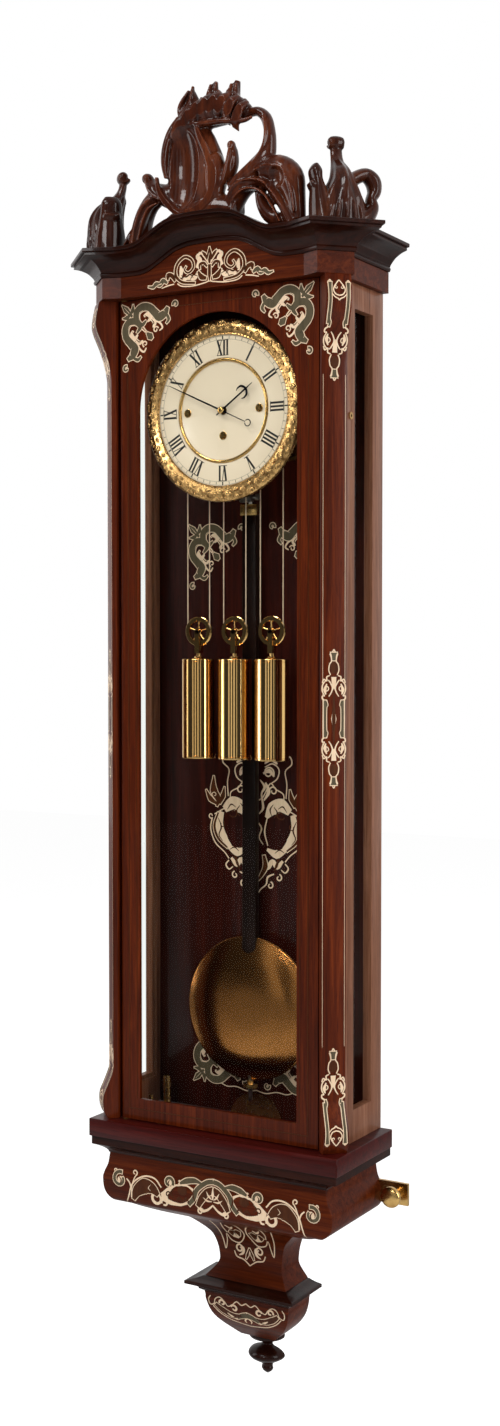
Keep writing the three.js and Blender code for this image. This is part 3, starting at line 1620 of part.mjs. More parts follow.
// Escape wheel with pointed teeth
function escapeWheel() {
  const points = [];
  const step = (2 * Math.PI) / escapeTeeth;
  for (let i = 0; i < escapeTeeth; i += 1) {
    const tip = (i + escapeTipShare) * step;
    const root = (i + escapeRootShare) * step;
    points.push([escapeRadius * Math.cos(tip), escapeRadius * Math.sin(tip)]);
    points.push([escapeRimRadius * Math.cos(root), escapeRimRadius * Math.sin(root)]);
  }
  const pinionY = -thirdWheelFrontY - pinionMargin;
  return join(
    ...trainArbor(...escapePlace),
    plateXZ(polygon(points), -escapeWheelFrontY, -escapeWheelFrontY + escapeWheelThickness)
      .translate(escapePlace[0], 0, escapePlace[1]),
    gearOn(...escapePlace, pinionLeaves, thirdModule, pinionY, wheelThickness + 2 * pinionMargin,
      towards(escapePlace, thirdPlace, pinionLeaves) + gapPhaseShare),
  );
}
put('escape_wheel', 'brass', escapeWheel());

// Anchor with its two pallets, arbor, crutch and the crutch's setting screw
function anchor() {
  const armHeight = anchorZ - palletTipZ;
  const half = anchorOutlineShares.map(([reachShare, heightShare]) => [
    palletReach * reachShare,
    armHeight * heightShare,
  ]);
  const outline = [...half, ...half.slice(1, -1).reverse().map(([x, z]) => [-x, z])];
  const pallets = plateXZ(polygon(outline), -escapeWheelFrontY,
    -escapeWheelFrontY + escapeWheelThickness)
    .translate(0, 0, anchorZ);
  const backY = -crutchFrontY + crutchThickness;
  const blockTop = crutchBottomZ + overrun / 2;
  const blockMiddle = blockTop - crutchBlockHeight / 2;
  const forkBackY = -crutchFrontY + crutchBlockDepth + crutchForkLength;
  const fork = (hand) => block(
    Math.min(hand * crutchForkGap, hand * (crutchForkGap + crutchForkThickness)),
    Math.max(hand * crutchForkGap, hand * (crutchForkGap + crutchForkThickness)),
    -crutchFrontY + crutchThickness, forkBackY,
    blockMiddle - crutchForkThickness, blockMiddle + crutchForkThickness,
  );
  return join(
    pallets,
    barY(0, anchorZ, arborFrontY, backY, trainArborRadius),
    barY(0, anchorZ, -frontPlateY + seatGap, arborFrontY + seatGap, pivotPinRadius),
    barY(0, anchorZ, -crutchFrontY, backY, pillarRadius),
    block(-crutchHalfWidth, crutchHalfWidth, -crutchFrontY, backY, crutchBottomZ, anchorZ),
    block(-crutchBlockHalfWidth, crutchBlockHalfWidth, -crutchFrontY, -crutchFrontY + crutchBlockDepth,
      blockTop - crutchBlockHeight, blockTop),
    barX(-crutchFrontY + crutchBlockDepth / 2, blockMiddle, -crutchLeverEndX, crutchScrewEndX,
      crutchScrewRadius),
    barX(-crutchFrontY + crutchBlockDepth / 2, blockMiddle, crutchScrewEndX - crutchThickness,
      crutchScrewEndX,
      pillarRadius),
    fork(-1),
    fork(1),
  );
}
put('anchor', 'steel', anchor());

// Pendulum rod: spring, wire, head plate, flat wooden rod and threaded tip
function pendulumRod() {
  const y = -pendulumY;
  return join(
    block(-springHalfThickness, springHalfThickness, y - springWidth / 2, y + springWidth / 2,
      springBottomZ, springTopZ),
    barZ(0, y, headPlateTopZ - overrun, springBottomZ + overrun, upperRodRadius),
    block(-headPlateWidth / 2, headPlateWidth / 2, y - headPlateThickness / 2,
      y + headPlateThickness / 2,
      headPlateBottomZ, headPlateTopZ),
    block(-woodRodWidth / 2, woodRodWidth / 2, y - woodRodThickness / 2, y + woodRodThickness / 2,
      woodRodBottomZ, headPlateBottomZ + overrun),
    barZ(0, y, lowerRodTipZ, woodRodBottomZ + overrun, lowerRodRadius),
  );
}
put('pendulum_rod', 'ebonised', pendulumRod());

// Bob: a lens of brass with a channel for the rod above and a bore below
function pendulumBob() {
  const half = bobThickness / 2;
  const profile = bobProfileShares.map(([radiusShare, depthShare]) => (
    new THREE.Vector2(radiusShare * bobRadius, depthShare * half)));
  const lens = outward(indexed(new THREE.LatheGeometry(profile, fineSides)));
  const channelBottom = woodRodBottomZ - bobCentreZ - bobTravel - overrun;
  const channel = block(-bobChannelWidth / 2, bobChannelWidth / 2, -bobChannelDepth / 2,
    bobChannelDepth / 2,
    channelBottom, bobRadius + overrun);
  const slot = block(-bobChannelWidth / 2, bobChannelWidth / 2, -bobThickness, 0,
    bobRadius - bobChannelWidth / 2, bobRadius + overrun);
  const bore = barZ(0, 0, -bobRadius - overrun, overrun, bobBoreRadius);
  return cut(lens, channel, slot, bore).translate(0, -pendulumY, bobCentreZ);
}
put('pendulum_bob', 'brass', pendulumBob());

function ratingNut() {
  const y = -pendulumY;
  const hubTop = bobCentreZ - bobRadius - seatGap;
  const body = join(
    barZ(0, y, nutBottomZ, nutBottomZ + nutThickness, nutRadius, roundSides),
    barZ(0, y, nutBottomZ, hubTop, nutHubRadius),
  );
  return cut(body, barZ(0, y, nutBottomZ - overrun, hubTop + overrun, nutBoreRadius));
}
put('rating_nut', 'brass', ratingNut());

// Weights: brass cylinder with caps, stirrup and pulley axle
function weight(x) {
  const y = -weightY;
  const cheek = (hand) => {
    const inner = y + hand * stirrupHalfGap;
    const outer = y + hand * (stirrupHalfGap + stirrupThickness);
    return block(x - stirrupWidth / 2, x + stirrupWidth / 2, Math.min(inner, outer),
      Math.max(inner, outer),
      stirrupBridgeZ, pulleyZ + stirrupWidth / 2);
  };
  const reach = stirrupHalfGap + stirrupThickness;
  return join(
    barZ(x, y, weightBottomZ, weightTopZ, weightRadius, roundSides),
    barZ(x, y, weightTopZ, weightTopZ + weightCapThickness, weightNeckRadius),
    barZ(x, y, weightTopZ, stirrupBridgeZ, weightNeckRadius / 2),
    block(x - stirrupWidth / 2, x + stirrupWidth / 2, y - reach, y + reach,
      stirrupBridgeZ - stirrupBridgeThickness, stirrupBridgeZ + overrun / 2),
    cheek(-1),
    cheek(1),
    barY(x, pulleyZ, y - reach, y + reach, axleRadius),
  );
}

// Pulley with a grooved rim and open spokes
function pulley(x) {
  const half = pulleyThickness / 2;
  const rim = [
    [pulleyRimInner, -half],
    [pulleyRimRadius, -half],
    [pulleyGrooveRadius, -lineRadius],
    [pulleyGrooveRadius, lineRadius],
    [pulleyRimRadius, half],
    [pulleyRimInner, half],
  ].map(([radius, y]) => new THREE.Vector2(radius, y));
  rim.push(rim[0].clone());
  const parts = [outward(indexed(new THREE.LatheGeometry(rim, roundSides)))];
  parts.push(barY(0, 0, -half, half, pulleyHubRadius));
  for (let i = 0; i < pulleySpokes; i += 1) {
    const spoke = block(-pulleySpokeWidth / 2, pulleySpokeWidth / 2, -half / 2, half / 2,
      pulleyBoreRadius, (pulleyRimInner + pulleyGrooveRadius) / 2);
    parts.push(spoke.rotateY((2 * Math.PI * i) / pulleySpokes));
  }
  const bore = barY(0, 0, -pulleyThickness, pulleyThickness, pulleyBoreRadius);
  return cut(join(...parts), bore).translate(x, -weightY, pulleyZ);
}

// Gut line from the drum down round the pulley and up to its pillar
function line(x, drumX, drumZ) {
  const points = [new THREE.Vector3(drumX + pulleyPitchRadius, -weightY, drumZ)];
  for (let i = 0; i <= lineArcSteps; i += 1) {
    const angle = (Math.PI * i) / lineArcSteps;
    points.push(new THREE.Vector3(
      x + pulleyPitchRadius * Math.cos(angle),
      -weightY,
      pulleyZ - pulleyPitchRadius * Math.sin(angle),
    ));
  }
  points.push(new THREE.Vector3(x - pulleyPitchRadius, -weightY, pillarLowZ - pillarRadius - seatGap));
  return wire(points, lineRadius, lineSides, alongY);
}

for (const [side, x, train] of [['left', -weightX, 'quarter'], ['middle', 0, 'going'],
  ['right', weightX, 'hour']]) {
  put(`${side}_weight`, 'brass', weight(x));
  put(`${side}_pulley`, 'brass', pulley(x));
  put(`${side}_line`, 'gut', line(x, ...barrelPlaces[train]));
}

// Winding crank, kept upright on the floor of the case
function windingCrank() {
  const armTop = seatGap + crankArmThickness;
  const shank = barZ(-crankX, -crankY, seatGap, crankHeight, crankShankRadius);
  const handle = barZ(-crankHandleX, -crankHandleY, seatGap, crankHandleTopZ, crankHandleRadius);
  const run = Math.hypot(crankHandleX - crankX, crankHandleY - crankY);
  const arm = block(0, run, -crankArmWidth / 2, crankArmWidth / 2, seatGap, armTop);
  arm.rotateZ(Math.atan2(crankY - crankHandleY, crankX - crankHandleX));
  arm.translate(-crankX, -crankY, 0);
  const half = windingSquare / 2 + seatGap;
  const socket = block(-crankX - half, -crankX + half, -crankY - half, -crankY + half,
    crankHeight - crankSocketDepth, crankHeight + overrun);
  return cut(join(shank, handle, arm), socket);
}
put('winding_crank', 'steel', windingCrank());

// Coil gong on its block
function gongSet() {
  const points = [];
  const steps = gongTurns * gongStepsPerTurn;
  for (let i = 0; i <= steps; i += 1) {
    const turn = i / gongStepsPerTurn;
    const radius = gongRadius - gongPitch * turn;
    const angle = -Math.PI / 2 - 2 * Math.PI * turn;
    points.push(new THREE.Vector3(-gongX + radius * Math.cos(angle), -gongY,
      gongZ + radius * Math.sin(angle)));
  }
  const holderTop = gongZ - gongRadius + gongBlockHeight / 2;
  const holder = block(-gongX - gongBlockWidth / 2, -gongX + gongBlockWidth / 2, -gongBlockFrontY,
    -backBoardThickness - seatGap, holderTop - gongBlockHeight, holderTop - 2 * gongWireRadius);
  return join(wire(points, gongWireRadius, gongWireSides, alongY), holder);
}
put('gong_set', 'steel', gongSet());

// Hammer that strikes the coil from the right
function hammer() {
  const y0 = -hammerFrontY;
  const y1 = y0 + hammerArmThickness;
  const hub = barY(0, 0, y0, y1, hammerHubRadius, roundSides);
  const arm = block(-hammerArmWidth / 2, hammerArmWidth / 2, y0, y1, -hammerArmLength, 0);
  const coilX = -gongX + gongRadius - gongPitch * gongStrikeShare + gongWireRadius;
  const headX = coilX + hammerHeadGap + hammerX;
  const head = block(headX, headX + hammerHeadLength, y0, y0 + 2 * hammerHeadRadius,
    -hammerArmLength - hammerHeadRadius, -hammerArmLength + hammerHeadRadius);
  const body = cut(join(hub, arm, head), barY(0, 0, y0 - overrun, y1 + overrun,
    hammerStudRadius + runningGap));
  return body.translate(-hammerX, 0, hammerZ);
}
put('hammer', 'brass', hammer());

// Hands: outlines drawn pointing up, then turned clockwise from twelve
function turnedHand(hand, degrees) {
  return hand.rotateY((degrees * Math.PI) / 180).translate(0, 0, dialCentreZ);
}

function bladeShape(shares, length) {
  const right = shares.map(([widthShare, heightShare]) => [handWidth * widthShare,
    length * heightShare]);
  const left = [...right].reverse().filter(([x]) => x > 0).map(([x, z]) => [-x, z]);
  return polygon([...right, ...left]);
}

function minuteHand() {
  const y1 = -minuteHandBackY;
  const y0 = y1 - handThickness;
  const ringZ = [minuteHandLength * minuteRingShare, -minuteTailLength - handRingRadius / 2];
  const outer = [
    plateXZ(bladeShape(minuteBladeShares, minuteHandLength), y0, y1),
    block(-handWidth / 2, handWidth / 2, y0, y1, -minuteTailLength, 0),
    ringY(0, 0, y0, y1, handBossRadius, 0, roundSides),
    ...ringZ.map((z) => ringY(0, z, y0, y1, handRingRadius, 0, roundSides)),
    barY(0, 0, y0, -hourWheelFrontY, minutePipeRadius),
  ];
  const eyes = ringZ.map((z) => barY(0, z, y0 - overrun, y1 + overrun, handRingBore, roundSides));
  const bore = barY(0, 0, y0 - overrun, 0, minutePipeBore);
  return turnedHand(cut(join(...outer), ...eyes, bore), minuteHandAngle);
}
put('minute_hand', 'blackSteel', minuteHand());

function hourHand() {
  const y1 = -hourHandBackY;
  const y0 = y1 - handThickness;
  const ringZ = hourHandLength * hourRingShare;
  const wheelY = -hourWheelFrontY;
  const outer = [
    plateXZ(bladeShape(hourBladeShares, hourHandLength), y0, y1),
    ringY(0, 0, y0, y1, hourBossRadius, 0, roundSides),
    ringY(0, ringZ, y0, y1, hourRingRadius, 0, roundSides),
    barY(0, 0, y0, wheelY + hourWheelThickness, hourPipeRadius),
    plateXZ(toothedShape(hourWheelTeeth, hourWheelRadius - hourWheelToothHeight, hourWheelRadius),
      wheelY, wheelY + hourWheelThickness),
  ];
  const eye = barY(0, ringZ, y0 - overrun, y1 + overrun, hourRingBore, roundSides);
  const bore = barY(0, 0, y0 - overrun, wheelY + hourWheelThickness + overrun, hourPipeBore);
  return turnedHand(cut(join(...outer), eye, bore), hourHandAngle);
}
put('hour_hand', 'blackSteel', hourHand());

export default clock;
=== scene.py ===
import math
import bmesh
import bpy
import numpy as np
from mathutils import Matrix, Vector, geometry


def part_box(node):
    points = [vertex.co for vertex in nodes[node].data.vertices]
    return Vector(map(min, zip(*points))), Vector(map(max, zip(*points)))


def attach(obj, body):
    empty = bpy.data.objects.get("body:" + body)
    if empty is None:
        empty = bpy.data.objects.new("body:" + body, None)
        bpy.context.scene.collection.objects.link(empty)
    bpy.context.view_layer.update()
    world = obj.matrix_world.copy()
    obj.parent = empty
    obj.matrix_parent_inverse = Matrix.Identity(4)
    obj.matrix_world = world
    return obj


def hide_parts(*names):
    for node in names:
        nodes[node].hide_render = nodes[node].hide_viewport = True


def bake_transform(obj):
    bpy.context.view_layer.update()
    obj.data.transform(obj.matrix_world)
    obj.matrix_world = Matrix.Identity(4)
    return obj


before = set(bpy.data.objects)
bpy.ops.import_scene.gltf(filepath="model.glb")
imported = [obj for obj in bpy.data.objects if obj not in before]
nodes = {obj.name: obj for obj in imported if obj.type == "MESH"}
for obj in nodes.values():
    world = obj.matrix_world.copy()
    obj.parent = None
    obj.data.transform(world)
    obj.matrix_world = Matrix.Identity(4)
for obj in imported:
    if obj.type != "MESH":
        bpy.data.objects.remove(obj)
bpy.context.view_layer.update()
scene = bpy.context.scene

# Studio round a clock that hangs on its hook: the camera a little to its right and just below the
# dial, a pale floor far below, wide soft lamps at both sides, and a room that is white behind
# the clock and dim behind the camera.
mm = 0.001
view_turn = math.radians(30.47)
view_dip = math.radians(2.104)
ahead = Vector((
    -math.sin(view_turn) * math.cos(view_dip),
    math.cos(view_turn) * math.cos(view_dip),
    -math.sin(view_dip),
))
aside = Vector((math.cos(view_turn), math.sin(view_turn), 0))
above = aside.cross(ahead)
camera_data = bpy.data.cameras.new("camera")
camera_data.lens = 43.463
camera_data.sensor_width = 36
camera_data.clip_start = 0.05
camera_data.clip_end = 30
camera = bpy.data.objects.new("camera", camera_data)
camera_place = (0.9604, -1.6726, -0.3601)
camera.matrix_world = Matrix.Translation(camera_place) @ Matrix((
    (aside.x, above.x, -ahead.x),
    (aside.y, above.y, -ahead.y),
    (aside.z, above.z, -ahead.z),
)).to_4x4()
scene.collection.objects.link(camera)
scene.camera = camera
scene.view_settings.view_transform = "Standard"


def feed(tree, socket, value):
    """Gives a socket a plain value, or links another node's output to it."""
    if isinstance(value, bpy.types.NodeSocket):
        tree.links.new(value, socket)
    else:
        socket.default_value = value


def node(tree, kind, **values):
    """Adds a shader node; each value goes to the input of its name, or else to the node's own setting."""
    made = tree.nodes.new(kind)
    for name, value in values.items():
        spoken = name.replace("_", " ").lower()
        socket = next((s for s in made.inputs if s.name.lower() == spoken and s.enabled), None)
        if socket is None:
            setattr(made, name, value)
        else:
            feed(tree, socket, value)
    return made


def maths(tree, operation, *terms):
    """What a Math node makes of numbers or of other nodes' outputs."""
    made = node(tree, "ShaderNodeMath", operation=operation)
    for socket, term in zip(made.inputs, terms):
        feed(tree, socket, term)
    return made.outputs[0]


def ranged(tree, value, low, high, to_low=0.0, to_high=1.0):
    """A value carried from one range to another, and kept inside it."""
    return node(tree, "ShaderNodeMapRange", Value=value, From_Min=low, From_Max=high, To_Min=to_low,
        To_Max=to_high).outputs[0]


def between(tree, amount, low, high):
    """A number between two by amount."""
    made = node(tree, "ShaderNodeMix", data_type="FLOAT", Factor=amount)
    feed(tree, made.inputs[2], low)
    feed(tree, made.inputs[3], high)
    return made.outputs[0]


def new_material(name):
    made = bpy.data.materials.new(name)
    made.use_nodes = True
    made.node_tree.nodes.clear()
    return made, made.node_tree


def tone(red, green, blue):
    """A colour written as 0 to 255 on a screen."""
    linear = [((c / 255 + 0.055) / 1.055) ** 2.4 if c > 10 else c / 3294.6 for c in (red, green, blue)]
    return (*linear, 1)


floor_height = -1.62
floor_corners = [(x, y, floor_height) for x, y in ((-9, -9), (9, -9), (9, 9), (-9, 9))]
floor_mesh = bpy.data.meshes.new("studio_floor")
floor_mesh.from_pydata(floor_corners, [], [(0, 1, 2, 3)])
floor = bpy.data.objects.new("studio_floor", floor_mesh)
scene.collection.objects.link(floor)
white = (1, 1, 1, 1)
floor_glow = 0.78
glow_in_polish = 0.12
floor_material, tree = new_material("pale floor")
speckle = node(tree, "ShaderNodeTexNoise", Scale=3.0, Detail=2.0)
matt = node(tree, "ShaderNodeBsdfDiffuse", Color=ranged(tree, speckle.outputs["Fac"], 0, 1, 0.8, 0.84))
path = node(tree, "ShaderNodeLightPath").outputs
straight = maths(tree, "MAXIMUM", path["Is Camera Ray"], path["Is Transmission Ray"])
polished = maths(tree, "MULTIPLY", path["Is Glossy Ray"], glow_in_polish)
looked_at = maths(tree, "MAXIMUM", straight, polished)
shine = node(tree, "ShaderNodeEmission", Color=white, Strength=maths(tree, "MULTIPLY", looked_at, floor_glow))
both = node(tree, "ShaderNodeAddShader")
feed(tree, both.inputs[0], matt.outputs[0])
feed(tree, both.inputs[1], shine.outputs[0])
node(tree, "ShaderNodeOutputMaterial", Surface=both.outputs[0])
floor_mesh.materials.append(floor_material)

soft_level = 0.24
window_bands = 21
window_level = 0.85
dark_corner = 0.53
room = bpy.data.worlds.new("studio room")
scene.world = room
room.use_nodes = True
tree = room.node_tree
tree.nodes.clear()
direction = node(tree, "ShaderNodeTexCoord").outputs["Generated"]
heading = node(tree, "ShaderNodeSeparateXYZ", Vector=direction).outputs
path = node(tree, "ShaderNodeLightPath").outputs
back_light = ranged(tree, heading["Y"], -0.35, 0.25, 0.05, 1.0)
ripple = maths(tree, "SINE", maths(tree, "MULTIPLY", heading["X"], window_bands))
tall_windows = ranged(tree, ripple, -0.2, 0.5, 0, window_level)
off_corner = maths(tree, "ABSOLUTE", maths(tree, "ADD", heading["X"], dark_corner))
left_end = ranged(tree, off_corner, 0.09, 0.12)
right_end = ranged(tree, heading["X"], 0.62, 0.7, 1, 0)
windows = maths(tree, "MULTIPLY", tall_windows, maths(tree, "MULTIPLY", left_end, right_end))
mirrored = maths(tree, "MULTIPLY", path["Is Glossy Ray"], maths(tree, "MAXIMUM", back_light, windows))
straight = maths(tree, "MAXIMUM", path["Is Camera Ray"], path["Is Transmission Ray"])
shown = maths(tree, "MAXIMUM", mirrored, straight)
seen = maths(tree, "MAXIMUM", path["Is Glossy Ray"], straight)
sky = node(tree, "ShaderNodeBackground", Color=white, Strength=between(tree, seen, soft_level, shown))
node(tree, "ShaderNodeOutputWorld", Surface=sky.outputs[0])

lamps_aim_at = Vector((0, -0.05, -0.45))
for name, place, size, power in (
    ("left softbox", (-2.3, -1.0, 0.1), (0.9, 2.0), 26),
    ("high softbox", (-0.7, -1.9, 1.9), (1.0, 0.7), 36),
    ("right softbox", (2.6, -0.6, 0.1), (1.0, 2.2), 50),
    ("front softbox", (0.15, -2.9, 0.9), (0.7, 0.7), 24),
):
    lamp_data = bpy.data.lights.new(name, "AREA")
    lamp_data.shape = "RECTANGLE"
    lamp_data.size, lamp_data.size_y = size
    lamp_data.energy = power
    lamp = bpy.data.objects.new(name, lamp_data)
    aim = lamps_aim_at - Vector(place)
    lamp.matrix_world = Matrix.Translation(place) @ aim.to_track_quat("-Z", "Y").to_matrix().to_4x4()
    scene.collection.objects.link(lamp)

# Case of the clock: back board, two sides that are frames round a pane, all of walnut-coloured
# veneer on softwood with a polished face, glued and pinned together. A brass plate with a
# keyhole is let into the back board and hangs on the hook.
case_drop = -0.880


def at(x, y, z):
    """A place in metres from millimetres, with heights counted from the top of the plinth slab."""
    return Vector((x * mm, y * mm, z * mm + case_drop))


def face_outwards(mesh):
    """Turns the faces of closed parts outwards."""
    shape = bmesh.new()
    shape.from_mesh(mesh)
    bmesh.ops.recalc_face_normals(shape, faces=shape.faces)
    shape.to_mesh(mesh)
    shape.free()


def solid(parts):
    """One mesh from lists of (places in millimetres, faces)."""
    places = []
    faces = []
    for some_places, some_faces in parts:
        start = len(places)
        places.extend(at(*p) for p in some_places)
        faces.extend([start + i for i in face] for face in some_faces)
    mesh = bpy.data.meshes.new("part")
    mesh.from_pydata(places, [], faces)
    face_outwards(mesh)
    return mesh


def loft(rings):
    """A closed skin through rings that have as many points, its ends capped."""
    count = len(rings[0])
    places = [p for ring in rings for p in ring]
    faces = []
    for r in range(len(rings) - 1):
        for i in range(count):
            a, b = r * count + i, r * count + (i + 1) % count
            faces.append([a, b, b + count, a + count])
    faces.append(list(range(count))[::-1])
    faces.append([(len(rings) - 1) * count + i for i in range(count)])
    return places, faces


def prism(outline, low, high, holes=(), lift=lambda a, b, h: (a, h, b)):
    """A plate with holes: its outline in two directions, low and high along the third."""
    loops = [list(outline)] + [list(h) for h in holes]
    flat = [p for loop in loops for p in loop]
    triangles = geometry.tessellate_polygon([[Vector((a, b, 0)) for a, b in loop] for loop in loops])
    places = [lift(a, b, low) for a, b in flat] + [lift(a, b, high) for a, b in flat]
    count = len(flat)
    faces = [list(t) for t in triangles] + [[i + count for i in t][::-1] for t in triangles]
    start = 0
    for loop in loops:
        for i in range(len(loop)):
            a, b = start + i, start + (i + 1) % len(loop)
            faces.append([a, b, b + count, a + count])
        start += len(loop)
    return places, faces


def turned(profile, centre, axis="Y", count=48):
    """A turned piece: (radius, place along the axis) from end to end, or a closed ring."""
    cx, cy, cz = centre
    ring_shaped = min(r for r, _ in profile) > 0
    rings = []
    for r, h in profile:
        ring = []
        for i in range(count):
            turn = 2 * math.pi * i / count
            a, b = max(r, 0.001) * math.cos(turn), max(r, 0.001) * math.sin(turn)
            ring.append((cx + a, cy + h, cz + b) if axis == "Y" else (cx + a, cy + b, cz + h))
        rings.append(ring)
    if not ring_shaped:
        return loft(rings)
    places = [p for ring in rings for p in ring]
    faces = []
    for r in range(len(rings)):
        after = (r + 1) % len(rings)
        for i in range(count):
            j = (i + 1) % count
            faces.append([r * count + i, r * count + j, after * count + j, after * count + i])
    return places, faces


def block(x0, x1, y0, y1, z0, z1):
    return loft([[(x0, y0, z), (x1, y0, z), (x1, y1, z), (x0, y1, z)] for z in (z0, z1)])


def eased(points, steps=6):
    """A smooth run through points, each a tuple of numbers."""
    run = [np.array(p, float) for p in points]
    run = [2 * run[0] - run[1]] + run + [2 * run[-1] - run[-2]]
    out = []
    for i in range(1, len(run) - 2):
        a, b, c, d = run[i - 1:i + 3]
        for k in range(steps):
            t = k / steps
            bent = (2 * a - 5 * b + 4 * c - d) * t * t
            out.append(0.5 * (2 * b + (c - a) * t + bent + (3 * b - a - 3 * c + d) * t ** 3))
    out.append(run[-2])
    return [tuple(float(v) for v in p) for p in out]


def worked(mesh, *steps):
    """The mesh after modifiers, given as (kind, settings)."""
    holder = bpy.data.objects.new("holder", mesh)
    scene.collection.objects.link(holder)
    for kind, settings in steps:
        modifier = holder.modifiers.new(kind.lower(), kind)
        for name, value in settings.items():
            setattr(modifier, name, value)
    done = bpy.data.meshes.new_from_object(holder.evaluated_get(bpy.context.evaluated_depsgraph_get()))
    bpy.data.objects.remove(holder)
    return done


def cut_out(mesh, tools):
    """The mesh with each tool, a list of closed parts, cut out of it in turn."""
    held = []
    for tool in tools:
        held.append(bpy.data.objects.new("tool", solid(tool)))
        scene.collection.objects.link(held[-1])
    cuts = [("BOOLEAN", {"operation": "DIFFERENCE", "solver": "EXACT", "object": tool}) for tool in held]
    done = worked(mesh, *cuts)
    for tool in held:
        bpy.data.objects.remove(tool)
    return done


def eased_edges(mesh, width, segments=2, angle=30):
    """The mesh merged, its flats made whole, with small rounded edges where faces meet at more than angle."""
    shape = bmesh.new()
    shape.from_mesh(mesh)
    bmesh.ops.remove_doubles(shape, verts=shape.verts, dist=0.00001)
    bmesh.ops.dissolve_limit(shape, angle_limit=0.01, verts=shape.verts, edges=shape.edges)
    shape.to_mesh(mesh)
    shape.free()
    rounding = {"width": width * mm, "segments": segments, "limit_method": "ANGLE",
        "angle_limit": math.radians(angle)}
    return worked(mesh, ("BEVEL", rounding))


def copy_of(name):
    """A copy of a CAD node's mesh, without its material."""
    mesh = nodes[name].data.copy()
    mesh.materials.clear()
    return mesh


def piece(name, mesh, finish, body, replaced=(), smooth_angle=35):
    """Puts a finished mesh in the scene, on its body and with its finish."""
    if not mesh.materials:
        for one in finish if isinstance(finish, list) else [finish]:
            mesh.materials.append(one)
    mesh.shade_smooth()
    mesh.set_sharp_from_angle(angle=math.radians(smooth_angle))
    mesh.name = name
    made = bpy.data.objects.new(name, mesh)
    scene.collection.objects.link(made)
    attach(made, body)
    if replaced:
        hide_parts(*replaced)
    return made


def refinish(name, finish):
    """Gives a CAD node, kept as it is, its finish."""
    mesh = nodes[name].data
    if len(mesh.materials):
        for i in range(len(mesh.materials)):
            mesh.materials[i] = finish
    else:
        mesh.materials.append(finish)


def new_group(name, inputs, outputs):
    group = bpy.data.node_groups.new(name, "ShaderNodeTree")
    for label, kind, value in inputs:
        socket = group.interface.new_socket(label, in_out="INPUT", socket_type=kind)
        socket.default_value = value
    for label, kind in outputs:
        group.interface.new_socket(label, in_out="OUTPUT", socket_type=kind)
    return group, group.nodes.new("NodeGroupInput"), group.nodes.new("NodeGroupOutput")


def drawn_out(tree, stretch):
    """Places on the piece, drawn out along the way of the grain."""
    made = node(tree, "ShaderNodeVectorMath", operation="MULTIPLY")
    feed(tree, made.inputs[0], node(tree, "ShaderNodeTexCoord").outputs["Object"])
    feed(tree, made.inputs[1], stretch)
    return made.outputs[0]


def mixed(tree, amount, first, second, blend="MIX"):
    """A colour mixed from two by amount."""
    made = node(tree, "ShaderNodeMix", data_type="RGBA", blend_type=blend, Factor=amount)
    feed(tree, made.inputs[6], first)
    feed(tree, made.inputs[7], second)
    return made.outputs[2]


grain, given, result = new_group("Wood grain",
    [("Stretch", "NodeSocketVector", (120, 120, 5))],
    [("Figure", "NodeSocketFloat"), ("Pores", "NodeSocketFloat"), ("Height", "NodeSocketFloat")])
drawn = drawn_out(grain, given.outputs["Stretch"])
bands = node(grain, "ShaderNodeTexNoise", Vector=drawn, Scale=1.0, Detail=5.0, Roughness=0.62, Distortion=1.1)
broad = node(grain, "ShaderNodeTexNoise", Vector=drawn, Scale=0.22, Detail=2.0)
fine = node(grain, "ShaderNodeTexNoise", Vector=drawn, Scale=7.0, Detail=3.0, Roughness=0.7)
clear_bands = ranged(grain, bands.outputs["Fac"], 0.3, 0.7)
pores = ranged(grain, fine.outputs["Fac"], 0.54, 0.68)
feed(grain, result.inputs["Figure"], between(grain, 0.4, clear_bands, broad.outputs["Fac"]))
feed(grain, result.inputs["Pores"], pores)
feed(grain, result.inputs["Height"], maths(grain, "MULTIPLY_ADD", pores, -0.7, fine.outputs["Fac"]))

# Masks read from the bend of the surface: Hollow marks recesses that get painted shade, Ridge marks edges
# that get a painted highlight.
relief, given, result = new_group("Carved relief",
    [("Reach", "NodeSocketFloat", 0.08)],
    [("Hollow", "NodeSocketFloat"), ("Ridge", "NodeSocketFloat")])
flat = 0.5
bend = node(relief, "ShaderNodeNewGeometry").outputs["Pointiness"]
low = maths(relief, "SUBTRACT", flat, given.outputs["Reach"])
high = maths(relief, "ADD", flat, given.outputs["Reach"])
feed(relief, result.inputs["Hollow"], ranged(relief, bend, low, flat, 1, 0))
feed(relief, result.inputs["Ridge"], ranged(relief, bend, 0.52, high, 0, 0.5))


